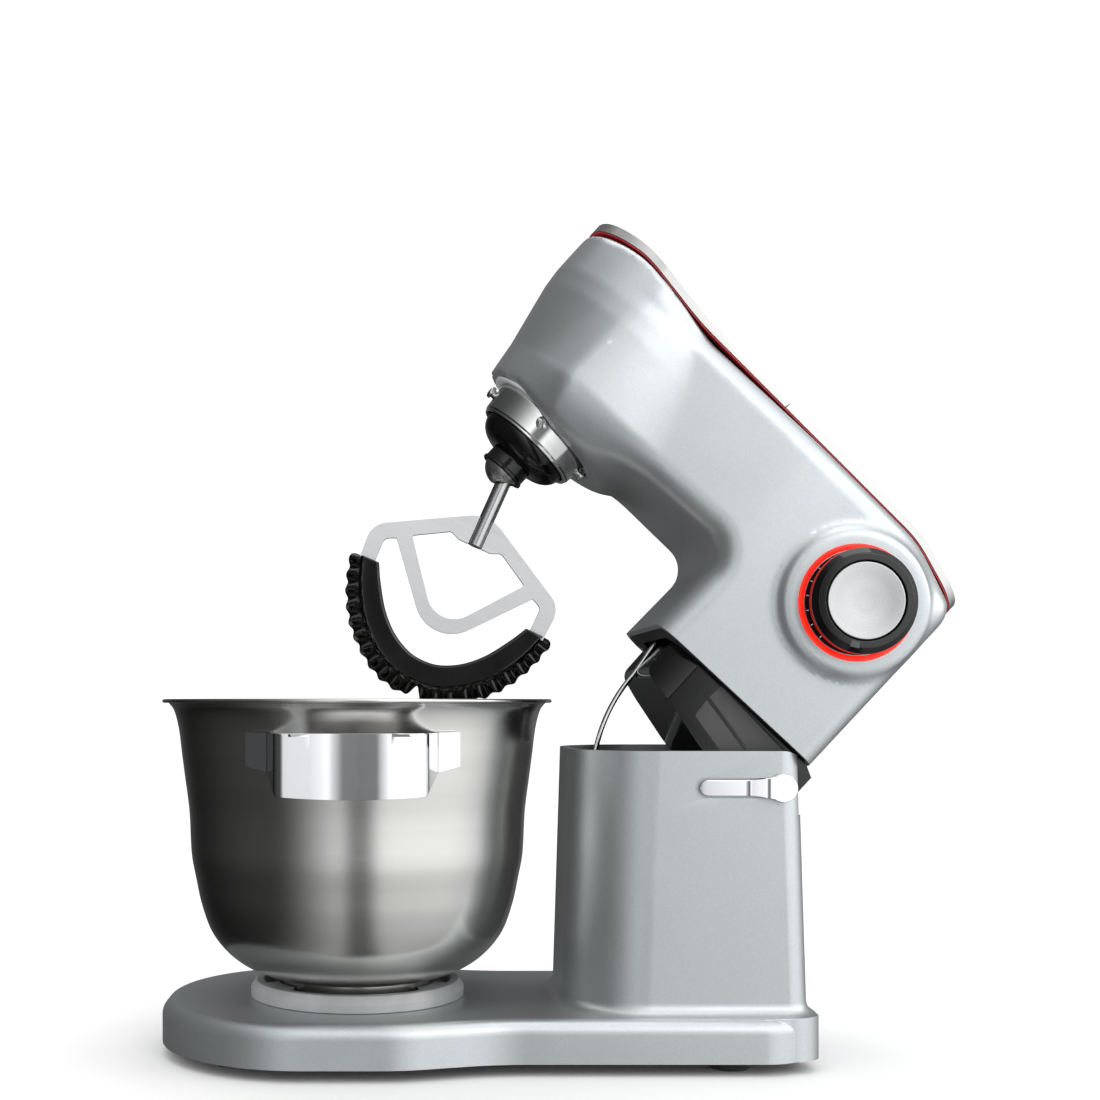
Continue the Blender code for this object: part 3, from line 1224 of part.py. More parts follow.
def main():
    clear_scene()
    stand = empty("stand", (0, 0, 0))
    make_base(stand)
    make_underside(stand)
    make_base_screws(stand)
    make_inlet(stand)
    make_well(stand)
    make_hinge(stand)
    make_bowl_seat(stand)
    bowl_axis = empty("bowl_axis", (0, 0, 0), stand)
    make_bowl(bowl_axis)
    make_handle(bowl_axis)
    lever_axis = empty("lever_axis", (PIVOT_X, -BODY_HALF_WIDTH, PIVOT_Z), stand)
    make_lever(lever_axis)
    head_axis = empty("head_axis", (PIVOT_X, 0, PIVOT_Z), stand, TILT_DEG)
    make_head_shell(head_axis)
    make_trim(head_axis)
    make_shroud(head_axis)
    make_hinge_arms(head_axis)
    make_spring(head_axis)
    make_chin(head_axis)
    make_rod(head_axis)
    make_outlets(head_axis)
    make_motor(head_axis)
    make_belt(head_axis)
    make_board(head_axis)
    make_drive_rings(head_axis)
    make_knob_surround(head_axis)
    split = COVER_SPLIT_X
    front_cover = empty("front_cover_way", (0, 0, TOP_EDGE[0][1]), head_axis)
    make_cover("front_cover", TOP_EDGE[0][0], split - COVER_SPLIT / 2, front_cover)
    rear_cover = empty("rear_cover_way", (MOTOR_X, 0, TOP_EDGE[0][1]), head_axis)
    make_cover("rear_cover", split + COVER_SPLIT / 2, TOP_EDGE[-1][0], rear_cover)
    rotor_axis = empty("rotor_axis", (MOTOR_X, 0, MOTOR_Z), head_axis)
    make_rotor(rotor_axis)
    knob_axis = empty("knob_axis", (KNOB_X, -BODY_HALF_WIDTH, KNOB_Z), head_axis)
    make_knob(knob_axis)
    carrier_axis = empty("carrier_axis", (0, 0, CARRIER_PLATE_Z), head_axis)
    make_carrier(carrier_axis)
    spindle_axis = empty("spindle_axis", (TOOL_X, 0, TOOL_Z), carrier_axis, -TOOL_SLANT_DEG)
    make_spindle(spindle_axis)
    tool_way = empty("tool_way", (TOOL_X, 0, TOOL_Z), spindle_axis)
    make_tool(tool_way)
    centre_on_origin(stand)


main()
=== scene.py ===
# %% [markdown]
# # A stand mixer with its head tilted open
#
# The machine is a painted base and column, a painted head on a hinge, a planetary drive that holds a
# slanted scraper tool, and a steel bowl. The frame brings the moving bodies and the plain solids. Each
# surface that shows is made again here at full detail, in the same place, and rides on its body.

# %% The frame
import json
import math

import bmesh
import bpy
import numpy as np
from mathutils import Matrix, Vector


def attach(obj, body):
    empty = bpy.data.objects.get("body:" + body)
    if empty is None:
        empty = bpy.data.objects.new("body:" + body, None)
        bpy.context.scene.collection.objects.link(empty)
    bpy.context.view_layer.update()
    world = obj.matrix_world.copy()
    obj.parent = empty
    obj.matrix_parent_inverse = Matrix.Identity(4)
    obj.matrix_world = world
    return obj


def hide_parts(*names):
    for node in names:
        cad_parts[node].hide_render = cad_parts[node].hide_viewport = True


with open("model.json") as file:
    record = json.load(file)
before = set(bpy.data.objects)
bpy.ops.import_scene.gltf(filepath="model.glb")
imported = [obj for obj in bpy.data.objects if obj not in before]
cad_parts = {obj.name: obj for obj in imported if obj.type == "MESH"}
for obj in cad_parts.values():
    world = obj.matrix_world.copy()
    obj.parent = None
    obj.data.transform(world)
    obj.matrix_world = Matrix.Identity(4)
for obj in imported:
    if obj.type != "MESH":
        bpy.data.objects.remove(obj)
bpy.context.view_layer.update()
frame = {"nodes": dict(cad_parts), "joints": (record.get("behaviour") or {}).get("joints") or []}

# %% [markdown]
# ## Places
#
# A stand mixer is easiest to draw closed: the bowl's axis is upright at X = 0, and the head is level.
# Each piece below is given in those closed sizes, in metres. A matrix then carries it to where the
# frame holds it: BASE for what stands still, HEAD for what tilts, and TOOL for what is on the slanted
# spindle. The matrices come from the frame's own joints, so the pieces can't drift from the solids.

# %% Matrices from the joints
joints = {joint["name"]: joint for joint in frame["joints"]}
bowl_x, bowl_y, _ = joints["bowl_turn"]["pos_m"]
BASE = Matrix.Translation((bowl_x, bowl_y, 0))
PIVOT = BASE.inverted() @ Vector(joints["head_tilt"]["pos_m"])
drive_up = Vector(joints["carrier_spin"]["axis"])
TILT = math.atan2(drive_up.x, drive_up.z)
HEAD = BASE @ Matrix.Translation(PIVOT) @ Matrix.Rotation(TILT, 4, "Y") @ Matrix.Translation(-PIVOT)
SPINDLE_POINT = Vector((0.0046, 0, 0.1833))
SLANT = math.radians(-18.8)
TOOL = HEAD @ Matrix.Translation(SPINDLE_POINT) @ Matrix.Rotation(SLANT, 4, "Y")
print("hinge at", [round(value, 4) for value in PIVOT], "head tilted", round(math.degrees(TILT), 1))


def facing_near(place, x, z, side=0.066):
    """A place on the near side of the machine whose own height axis points out at the cook."""
    return place @ Matrix.Translation((x, -side, z)) @ Matrix.Rotation(math.pi / 2, 4, "X")


# %% [markdown]
# ## Finishes
#
# Three effects come back in nearly every finish: the fine lines that a brush leaves in steel, the flakes
# in metallic paint, and the faint smears of handling. Each is a shader group, built once. A group gives
# back only masks and heights, and each material decides what to do with them, so one group serves many
# finishes with different strengths.

# %% Helpers for node trees
def wire(tree, kind, inputs=None, **settings):
    """Adds a node, sets its settings, and links or sets its inputs."""
    node = tree.nodes.new(kind)
    for key, value in settings.items():
        setattr(node, key, value)
    for key, value in (inputs or {}).items():
        if isinstance(value, bpy.types.NodeSocket):
            tree.links.new(value, node.inputs[key])
        else:
            node.inputs[key].default_value = value
    return node


def maths(tree, operation, *values):
    """What an arithmetic node makes of values or sockets."""
    return wire(tree, "ShaderNodeMath", dict(enumerate(values)), operation=operation).outputs[0]


def ramp(tree, value, low, high, start, end):
    """Takes low to high smoothly over to start and end."""
    sizes = {0: value, 1: low, 2: high, 3: start, 4: end}
    return wire(tree, "ShaderNodeMapRange", sizes, interpolation_type="SMOOTHSTEP").outputs[0]


def effect(name, inputs, outputs):
    """An empty shader group with named inputs and outputs."""
    group = bpy.data.node_groups.new(name, "ShaderNodeTree")
    for label, (kind, value) in inputs.items():
        socket = group.interface.new_socket(label, in_out="INPUT", socket_type=kind)
        if value is not None:
            socket.default_value = value
    for label in outputs:
        group.interface.new_socket(label, in_out="OUTPUT", socket_type="NodeSocketFloat")
    return group, group.nodes.new("NodeGroupInput"), group.nodes.new("NodeGroupOutput")


FLOAT, VECTOR = "NodeSocketFloat", "NodeSocketVector"

# %% Brushed lines
brushed, start, end = effect(
    "brushed_lines",
    {"Vector": (VECTOR, None), "Along": (FLOAT, 12.0), "Across": (FLOAT, 2600.0)},
    ("Line", "Shade"),
)
parts = wire(brushed, "ShaderNodeSeparateXYZ", {0: start.outputs["Vector"]})
along = maths(brushed, "MULTIPLY", parts.outputs[0], start.outputs["Along"])
across = maths(brushed, "MULTIPLY", parts.outputs[1], start.outputs["Across"])
depth = maths(brushed, "MULTIPLY", parts.outputs[2], start.outputs["Across"])
stretched = wire(brushed, "ShaderNodeCombineXYZ", {0: along, 1: across, 2: depth}).outputs[0]
lines = wire(brushed, "ShaderNodeTexNoise", {"Vector": stretched, "Scale": 1.0, "Detail": 2.0})
broad = wire(brushed, "ShaderNodeTexNoise", {"Vector": stretched, "Scale": 0.12, "Detail": 1.0})
brushed.links.new(lines.outputs["Fac"], end.inputs["Line"])
brushed.links.new(broad.outputs["Fac"], end.inputs["Shade"])

# %% Spun lines
spun, start, end = effect(
    "spun_lines", {"Vector": (VECTOR, None), "Fineness": (FLOAT, 2200.0)}, ("Line", "Shade")
)
parts = wire(spun, "ShaderNodeSeparateXYZ", {0: start.outputs["Vector"]})
flat = wire(spun, "ShaderNodeCombineXYZ", {0: parts.outputs[0], 1: parts.outputs[1]})
reach = wire(spun, "ShaderNodeVectorMath", {0: flat.outputs[0]}, operation="LENGTH")
rings = wire(spun, "ShaderNodeCombineXYZ", {0: reach.outputs["Value"], 1: parts.outputs[2]}).outputs[0]
fineness = start.outputs["Fineness"]
coarse = maths(spun, "MULTIPLY", fineness, 0.06)
lines = wire(spun, "ShaderNodeTexNoise", {"Vector": rings, "Scale": fineness, "Detail": 2.0})
broad = wire(spun, "ShaderNodeTexNoise", {"Vector": rings, "Scale": coarse, "Detail": 1.0})
spun.links.new(lines.outputs["Fac"], end.inputs["Line"])
spun.links.new(broad.outputs["Fac"], end.inputs["Shade"])

# %% Paint flakes and handling smears
flakes, start, end = effect(
    "paint_flakes", {"Vector": (VECTOR, None), "Size": (FLOAT, 2600.0)}, ("Flake", "Peel")
)
spot = start.outputs["Vector"]
cells = wire(flakes, "ShaderNodeTexVoronoi", {"Vector": spot, "Scale": start.outputs["Size"]})
grey = wire(flakes, "ShaderNodeSeparateColor", {0: cells.outputs["Color"]})
peel = wire(flakes, "ShaderNodeTexNoise", {"Vector": spot, "Scale": 420.0, "Detail": 1.0})
flakes.links.new(grey.outputs[0], end.inputs["Flake"])
flakes.links.new(peel.outputs["Fac"], end.inputs["Peel"])

smears, start, end = effect(
    "handling_smears", {"Vector": (VECTOR, None), "Scale": (FLOAT, 22.0)}, ("Smear",)
)
sizes = {"Vector": start.outputs["Vector"], "Scale": start.outputs["Scale"]}
sizes |= {"Detail": 4.0, "Distortion": 0.6}
cloud = wire(smears, "ShaderNodeTexNoise", sizes)
smears.links.new(ramp(smears, cloud.outputs["Fac"], 0.35, 0.7, 0.0, 1.0), end.inputs["Smear"])
print("effects:", [group.name for group in (brushed, spun, flakes, smears)])

# %% [markdown]
# A finish is one material. It reads Object coordinates, turned by a Mapping node where lines have to run
# along a tilted piece, and mixes its masks into colour, roughness and a very small bump.

# %% A material maker
def finish(name, colour, roughness, metallic=0.0, **sockets):
    """A new material, its shader and the node that gives its coordinates."""
    made = bpy.data.materials.new(name)
    made.use_nodes = True
    tree = made.node_tree
    shader = tree.nodes["Principled BSDF"]
    shader.inputs["Base Color"].default_value = (*colour, 1)
    shader.inputs["Roughness"].default_value = roughness
    shader.inputs["Metallic"].default_value = metallic
    for label, value in sockets.items():
        shader.inputs[label.replace("_", " ")].default_value = value
    place = wire(tree, "ShaderNodeTexCoord").outputs["Object"]
    return made, tree, shader, place


def turned_to(tree, place, matrix):
    """Coordinates of a piece's own frame, from a Mapping node that undoes its place."""
    home = matrix.inverted()
    settings = {0: place, "Location": home.to_translation(), "Rotation": home.to_euler("XYZ")}
    return wire(tree, "ShaderNodeMapping", settings, vector_type="POINT").outputs[0]


def group_of(tree, group, **inputs):
    return wire(tree, "ShaderNodeGroup", inputs, node_tree=group).outputs


def blend_of(tree, mask, first, second):
    """A mix of two colours by a mask."""
    inputs = {"Factor": mask, 6: (*first, 1), 7: (*second, 1)}
    return wire(tree, "ShaderNodeMix", inputs, data_type="RGBA").outputs[2]


def vary_colour(tree, shader, mask, dark, light):
    """Base colour between two shades of the finish, by a mask."""
    colour = Vector(shader.inputs["Base Color"].default_value[:3])
    tree.links.new(blend_of(tree, mask, colour * dark, colour * light), shader.inputs["Base Color"])


def vary_roughness(tree, shader, mask, spread):
    middle = shader.inputs["Roughness"].default_value
    low, high = middle - spread, middle + spread
    range_node = wire(tree, "ShaderNodeMapRange", {0: mask, 3: low, 4: high})
    tree.links.new(range_node.outputs[0], shader.inputs["Roughness"])


def roughen(tree, shader, height, strength, distance):
    bump = wire(tree, "ShaderNodeBump", {"Height": height, "Strength": strength, "Distance": distance})
    tree.links.new(bump.outputs[0], shader.inputs["Normal"])


# %% Painted and moulded finishes
def silver_paint(name="silver_paint"):
    """Satin metallic lacquer: flakes under a thin clear coat."""
    made, tree, shader, place = finish(
        name, (0.53, 0.555, 0.565), 0.40, 0.85, Coat_Weight=0.12, Coat_Roughness=0.22
    )
    masks = group_of(tree, flakes, Vector=place)
    smear = group_of(tree, smears, Vector=place)["Smear"]
    vary_colour(tree, shader, masks["Flake"], 0.94, 1.06)
    vary_roughness(tree, shader, smear, 0.025)
    roughen(tree, shader, masks["Peel"], 0.04, 0.0002)
    return made


def moulded(name, colour, roughness, grain=0.15, **sockets):
    """Moulded plastic or rubber with a fine grain and faint smears."""
    made, tree, shader, place = finish(name, colour, roughness, 0.0, **sockets)
    smear = group_of(tree, smears, Vector=place)["Smear"]
    peel = group_of(tree, flakes, Vector=place)["Peel"]
    vary_colour(tree, shader, smear, 0.85, 1.15)
    vary_roughness(tree, shader, smear, min(0.05, roughness * 0.4))
    roughen(tree, shader, peel, grain, 0.0002)
    return made


def lined_metal(name, colour, roughness, place_of, group, line, metallic=1.0, **sizes):
    """Metal with the fine lines of a shader group, laid out in its own frame."""
    made, tree, shader, place = finish(name, colour, roughness, metallic)
    masks = group_of(tree, group, Vector=turned_to(tree, place, place_of), **sizes)
    vary_colour(tree, shader, masks["Shade"], 0.93, 1.07)
    vary_roughness(tree, shader, masks["Line"], roughness * 0.25)
    roughen(tree, shader, masks["Line"], line, 0.0001)
    return made


def spun_metal(name, colour, roughness, place_of, fineness=2200.0, line=0.12):
    """Turned or spun metal: fine rings round the axis of its own frame."""
    return lined_metal(name, colour, roughness, place_of, spun, line, Fineness=fineness)


def brushed_metal(name, colour, roughness, place_of, line, metallic=1.0):
    """Sheet brushed along the X axis of its own frame."""
    return lined_metal(name, colour, roughness, place_of, brushed, line, metallic)


def polished(name, colour=(0.86, 0.86, 0.87), roughness=0.05):
    """Mirror chrome with faint smears."""
    made, tree, shader, place = finish(name, colour, roughness, 1.0)
    smear = group_of(tree, smears, Vector=place, Scale=60.0)["Smear"]
    vary_colour(tree, shader, smear, 0.98, 1.0)
    vary_roughness(tree, shader, smear, roughness * 0.5)
    return made


PAINT = silver_paint()
GLOSS_BLACK = moulded("gloss_black_plastic", (0.003, 0.003, 0.003), 0.10, 0.02)
SATIN_BLACK = moulded("satin_black_plastic", (0.055, 0.055, 0.053), 0.30, 0.10)
MATT_BLACK = moulded("matt_black_plastic", (0.020, 0.020, 0.021), 0.55, 0.35)
LIGHT_GREY = moulded("light_grey_plastic", (0.46, 0.47, 0.48), 0.38, 0.12)
SILICONE = moulded("black_silicone", (0.002, 0.002, 0.002), 0.17, 0.02)
RUBBER = moulded("foot_rubber", (0.018, 0.018, 0.018), 0.75, 0.5)
TRIM_RED = moulded("trim_red", (0.30, 0.008, 0.014), 0.25, 0.03)
CHROME = polished("chrome")
print("finishes so far:", len(bpy.data.materials))

# %% Metals that follow their own axis
BOWL_STEEL = spun_metal("spun_bowl_steel", (0.60, 0.59, 0.565), 0.23, BASE, 1600.0, 0.10)
COVER_STEEL = brushed_metal("brushed_cover_steel", (0.62, 0.615, 0.60), 0.30, HEAD, 0.03)
TOOL_STEEL = spun_metal("turned_tool_steel", (0.50, 0.50, 0.50), 0.26, TOOL, 3000.0)
CUP_METAL = spun_metal("satin_cup_metal", (0.56, 0.56, 0.56), 0.33, HEAD, 2600.0)
DRIVE_CHROME = spun_metal("drive_chrome", (0.80, 0.80, 0.79), 0.07, HEAD, 2600.0, 0.03)
KNOB_X, KNOB_Z = 0.1920, 0.2535
KNOB_PLACE = facing_near(HEAD, KNOB_X, KNOB_Z)
CAP_METAL = spun_metal("spun_knob_cap", (0.50, 0.50, 0.50), 0.26, KNOB_PLACE, 2600.0, 0.10)
FRAME_METAL = brushed_metal("satin_frame_aluminium", (0.66, 0.665, 0.67), 0.42, TOOL, 0.06, 0.55)
INNER_STEEL = spun_metal("inner_steel", (0.46, 0.46, 0.47), 0.32, HEAD, 1800.0)
BRASS = spun_metal("turned_brass", (0.60, 0.42, 0.18), 0.28, HEAD, 2200.0)
BOARD_GREEN = moulded("board_green", (0.02, 0.16, 0.06), 0.45)


def lit_ring():
    made, tree, shader, place = finish("lit_red_ring", (0.80, 0.02, 0.008), 0.25, 0.0)
    smear = group_of(tree, smears, Vector=place, Scale=90.0)["Smear"]
    glow = blend_of(tree, smear, (0.86, 0.010, 0.004), (0.95, 0.018, 0.008))
    tree.links.new(glow, shader.inputs["Emission Color"])
    shader.inputs["Emission Strength"].default_value = 0.75
    return made


LAMP_RED = lit_ring()
WINDOW_DARK = moulded("smoked_window", (0.020, 0.005, 0.008), 0.08, 0.02)
MARK_WHITE = moulded("printed_white", (0.75, 0.75, 0.74), 0.45)
print("finishes:", len(bpy.data.materials))

# %% [markdown]
# ## Drawing tools
#
# Most pieces here are drawn as an outline with rounded corners, and then spun, pushed out or swept. A
# rounded outline gives every moulded or turned edge the small radius that catches the light.

# %% Outlines
def arc(x, y, radius, start_deg, end_deg, steps):
    """Points of an arc, as (x, y)."""
    angles = [math.radians(start_deg + (end_deg - start_deg) * step / steps) for step in range(steps + 1)]
    return [(x + radius * math.cos(angle), y + radius * math.sin(angle)) for angle in angles]


def rounded(corners, fine=6.0):
    """Closed outline through (x, y, radius) corners, each an arc in steps of fine degrees."""
    outline = []
    for index, (x, y, radius) in enumerate(corners):
        here = Vector((x, y))
        back = Vector(corners[index - 1][:2]) - here
        ahead = Vector(corners[(index + 1) % len(corners)][:2]) - here
        turn = math.pi - back.angle(ahead)
        if radius <= 0 or turn < 1e-3:
            outline.append((x, y))
            continue
        run = radius * math.tan(turn / 2)
        first = here + back.normalized() * run
        last = here + ahead.normalized() * run
        inwards = (back.normalized() + ahead.normalized()).normalized()
        middle = here + inwards * (radius / math.cos(turn / 2))
        steps = max(2, math.ceil(math.degrees(turn) / fine))
        a, b = first - middle, last - middle
        swing = math.atan2(a.x * b.y - a.y * b.x, a.dot(b))
        for step in range(steps + 1):
            spot = middle + Matrix.Rotation(swing * step / steps, 2) @ a
            outline.append((spot.x, spot.y))
    return outline


def box_corners(x0, y0, x1, y1):
    """Four sharp corners for rounded()."""
    return [(x0, y0, 0), (x1, y0, 0), (x1, y1, 0), (x0, y1, 0)]


def rod_profile(radius, low, high):
    """Half section of a plain rod, for spinning."""
    return [(0, low, 0), (radius, low, 0), (radius, high, 0), (0, high, 0)]


def nosed_plan(front, rear, half, nose, corner, fine):
    """A plan with two round corners of one size in front and two of another at the rear."""
    near = [(front, -half, nose), (rear, -half, corner)]
    return rounded(near + [(x, -y, radius) for x, y, radius in reversed(near)], fine)


def eased(points, count):
    """A smooth curve with count points through the given ones, as Catmull and Rom draw it."""
    knots = np.array(points, float)
    padded = np.vstack([2 * knots[0] - knots[1], knots, 2 * knots[-1] - knots[-2]])
    spots = np.linspace(0, len(knots) - 1 - 1e-9, count)
    made = []
    for spot in spots:
        index, t = int(spot), spot - int(spot)
        p0, p1, p2, p3 = padded[index : index + 4]
        made.append(
            0.5 * (
                2 * p1 + (p2 - p0) * t + (2 * p0 - 5 * p1 + 4 * p2 - p3) * t**2
                + (3 * p1 - p0 - 3 * p2 + p3) * t**3
            )
        )
    return np.array(made)


# %% From points and faces to a finished piece
def solid(name, points, faces, skin, place=None, crease=32.0):
    """A mesh object with smooth faces and sharp edges, its normals outwards and its place in its mesh."""
    mesh = bpy.data.meshes.new(name)
    mesh.from_pydata(
        [tuple(map(float, point)) for point in points], [], [tuple(map(int, face)) for face in faces]
    )
    piece = bpy.data.objects.new(name, mesh)
    bpy.context.scene.collection.objects.link(piece)
    if skin:
        mesh.materials.append(skin)
    tidy(piece, crease)
    if place:
        mesh.transform(place)
    return piece


def tidy(piece, crease=32.0, merge=1e-6):
    """Merges doubled points, turns the faces outwards, and smooths all but the sharp edges."""
    work = bmesh.new()
    work.from_mesh(piece.data)
    bmesh.ops.remove_doubles(work, verts=work.verts, dist=merge)
    bmesh.ops.dissolve_degenerate(work, dist=merge, edges=work.edges)
    bmesh.ops.recalc_face_normals(work, faces=work.faces)
    work.to_mesh(piece.data)
    work.free()
    for face in piece.data.polygons:
        face.use_smooth = True
    piece.data.set_sharp_from_angle(angle=math.radians(crease))


def shape_now(piece):
    """The mesh that an object's modifiers give."""
    graph = bpy.context.evaluated_depsgraph_get()
    return bpy.data.meshes.new_from_object(piece.evaluated_get(graph), depsgraph=graph)


def keep_shape(piece):
    """Makes what an object's modifiers give its plain mesh."""
    mesh = shape_now(piece)
    piece.modifiers.clear()
    piece.data = mesh


def settle(piece, crease=32.0):
    """Keeps what the modifiers give, and tidies it."""
    keep_shape(piece)
    tidy(piece, crease)
    return piece


def carve(piece, *cutters, operation="DIFFERENCE", crease=32.0):
    """Cuts pieces out of another, or joins them, and removes the cutters."""
    for cutter in cutters:
        step = piece.modifiers.new("carve", "BOOLEAN")
        step.operation = operation
        step.solver = "EXACT"
        step.object = cutter
    settle(piece, crease)
    for cutter in cutters:
        bpy.data.objects.remove(cutter)
    return piece


def softened(piece, width, segments=3, angle=35.0, crease=32.0):
    """A small round on every sharp edge."""
    step = piece.modifiers.new("soft_edges", "BEVEL")
    step.width = width
    step.segments = segments
    step.limit_method = "ANGLE"
    step.angle_limit = math.radians(angle)
    step.harden_normals = True
    return settle(piece, crease)


def evenly_lit(piece):
    """Lets the large faces rule the shading beside the small rounds."""
    step = piece.modifiers.new("even_shading", "WEIGHTED_NORMAL")
    step.keep_sharp = True
    step.weight = 100
    keep_shape(piece)


MOST_EVEN_FACES = 30000


def belongs(piece, body, slot, *nodes):
    """Says what the piece rides on and which solids it stands for; slot, the name of its finish, is not
    used.
    """
    # The fine skin over a field is left out, because the weights would show its grid.
    if len(piece.data.polygons) < MOST_EVEN_FACES:
        evenly_lit(piece)
    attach(piece, body)
    if nodes:
        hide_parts(*nodes)
    print(piece.name, len(piece.data.polygons), "faces, rides on", body)
    return piece


# %% Spinning, pushing out and lofting
def loft_faces(rings, around, closed_ends=True, looped=False):
    """Quads between rings of equal length, with their ends closed."""
    faces = []
    pairs = rings if looped else rings - 1
    for ring in range(pairs):
        low, high = ring * around, (ring + 1) % rings * around
        for step in range(around):
            after = (step + 1) % around
            faces.append((low + step, low + after, high + after, high + step))
    if closed_ends and not looped:
        faces.append(tuple(range(around)))
        faces.append(tuple(range((rings - 1) * around, rings * around)))
    return faces


def spun_piece(name, profile, skin, place, steps=96, crease=32.0, fine=15.0):
    """Spins a closed (radius, height, corner radius) outline round the height axis."""
    outline = rounded(profile, fine)
    around = len(outline)
    points = []
    for turn in (2 * math.pi * step / steps for step in range(steps)):
        points += [(max(r, 0) * math.cos(turn), max(r, 0) * math.sin(turn), z) for r, z in outline]
    return solid(name, points, loft_faces(steps, around, looped=True), skin, place, crease)


def pushed(name, outline, low, high, skin, place, axis="Z", crease=32.0):
    """Pushes an outline out between two levels: up for Z, or across the machine for Y."""
    points = []
    for level in (low, high):
        points += [(x, y, level) if axis == "Z" else (x, level, y) for x, y in outline]
    return solid(name, points, loft_faces(2, len(outline)), skin, place, crease)


def swept_tube(name, path, radius, skin, place, side=(0, 1, 0), around=20):
    """A round wire along a path that lies in a plane with the given side direction."""
    path = [Vector(point) for point in path]
    side = Vector(side)
    points = []
    for index, spot in enumerate(path):
        ahead = (path[min(index + 1, len(path) - 1)] - path[max(index - 1, 0)]).normalized()
        out = ahead.cross(side).normalized()
        for step in range(around):
            angle = 2 * math.pi * step / around
            points.append(spot + out * radius * math.cos(angle) + side * radius * math.sin(angle))
    return solid(name, points, loft_faces(len(path), around), skin, place)


print("drawing tools ready")

# %% [markdown]
# ## Repeats
#
# Ticks on a dial, studs round a ring, feet under a base and flutes along a wiper are all one small shape
# repeated at points. Geometry Nodes put the copies on a circle or along a path from named sizes. The
# result is made real and turned into a plain mesh, because instances are lost when a part is exported.

# %% Helpers for geometry trees
def repeat_tree(name, sizes):
    """An empty geometry tree with named sizes, and its input and output nodes."""
    tree = bpy.data.node_groups.new(name, "GeometryNodeTree")
    tree.interface.new_socket("Geometry", in_out="INPUT", socket_type="NodeSocketGeometry")
    for label, value in sizes.items():
        kind = "NodeSocketInt" if isinstance(value, int) else "NodeSocketFloat"
        tree.interface.new_socket(label, in_out="INPUT", socket_type=kind).default_value = value
    tree.interface.new_socket("Geometry", in_out="OUTPUT", socket_type="NodeSocketGeometry")
    return tree, tree.nodes.new("NodeGroupInput"), tree.nodes.new("NodeGroupOutput")


def close_tree(tree, out, instances, skin):
    """Ends a tree as every one here ends: instances made real, then their material."""
    real = wire(tree, "GeometryNodeRealizeInstances", {0: instances})
    skinned = wire(tree, "GeometryNodeSetMaterial", {"Geometry": real.outputs[0], "Material": skin})
    tree.links.new(skinned.outputs[0], out.inputs[0])


def grown(name, tree, sizes, seed, place, crease=32.0):
    """Runs a tree on a seed shape with its own sizes, and gives the plain mesh."""
    step = seed.modifiers.new("repeat", "NODES")
    step.node_group = tree
    labels = {item.name: item.identifier for item in tree.interface.items_tree if item.in_out == "INPUT"}
    for label, value in sizes.items():
        step[labels[label]] = value
    mesh = shape_now(seed)
    bpy.data.objects.remove(seed)
    piece = bpy.data.objects.new(name, mesh)
    bpy.context.scene.collection.objects.link(piece)
    tidy(piece, crease)
    mesh.transform(place)
    return piece


def round_repeat(name, skin):
    """A tree that sets its seed shape at even steps round a circle, or round part of one."""
    tree, start, out = repeat_tree(
        name, {"Count": 4, "Radius": 0.03, "Height": 0.0, "First Angle": 0.0, "Step": 1.0}
    )
    line = wire(tree, "GeometryNodeMeshLine", {"Count": start.outputs["Count"]})
    index = wire(tree, "GeometryNodeInputIndex")
    turn = maths(tree, "MULTIPLY", index.outputs[0], start.outputs["Step"])
    angle = maths(tree, "ADD", turn, start.outputs["First Angle"])
    radians = maths(tree, "RADIANS", angle)
    x = maths(tree, "MULTIPLY", maths(tree, "COSINE", radians), start.outputs["Radius"])
    y = maths(tree, "MULTIPLY", maths(tree, "SINE", radians), start.outputs["Radius"])
    spot = wire(tree, "ShaderNodeCombineXYZ", {0: x, 1: y, 2: start.outputs["Height"]}).outputs[0]
    inputs = {"Geometry": line.outputs[0], "Position": spot}
    placed = wire(tree, "GeometryNodeSetPosition", inputs).outputs[0]
    facing = wire(tree, "ShaderNodeCombineXYZ", {2: radians}).outputs[0]
    inputs = {"Points": placed, "Instance": start.outputs["Geometry"], "Rotation": facing}
    copies = wire(tree, "GeometryNodeInstanceOnPoints", inputs)
    close_tree(tree, out, copies.outputs[0], skin)
    return tree


print("repeat tools ready")

# %% [markdown]
# ## The head shell
#
# The real head is one die-cast skin in which a round nose flows into a broad arm, and the arm into a
# neck. Lofts and booleans leave a hard line where such shapes meet. Here the skin is the zero level of a
# distance field instead: each simple shape says how far away its surface is, and a soft minimum of these
# distances blends them like clay. The field is sampled on a grid, and one point is set in each grid cell
# that the surface passes through.

# %% Distances to outlines
def outline_distance(outline, x, y):
    """Signed distance from points to a closed outline, less than zero inside it."""
    corners = np.array(outline)
    nearest = np.full(x.shape, 1e9)
    inside = np.zeros(x.shape, bool)
    for (ax, ay), (bx, by) in zip(corners, np.roll(corners, -1, axis=0)):
        dx, dy = bx - ax, by - ay
        share = np.clip(((x - ax) * dx + (y - ay) * dy) / (dx * dx + dy * dy + 1e-18), 0, 1)
        nearest = np.minimum(nearest, np.hypot(x - ax - share * dx, y - ay - share * dy))
        crosses = (ay > y) != (by > y)
        inside ^= crosses & (x < ax + (y - ay) * dx / (dy if abs(dy) > 1e-12 else 1e-12))
    return np.where(inside, -nearest, nearest)


def soft_least(first, second, blend):
    """The lesser of two distances, with the seam between them filled."""
    overlap = np.maximum(blend - np.abs(first - second), 0) / blend
    return np.minimum(first, second) - overlap * overlap * blend * 0.25


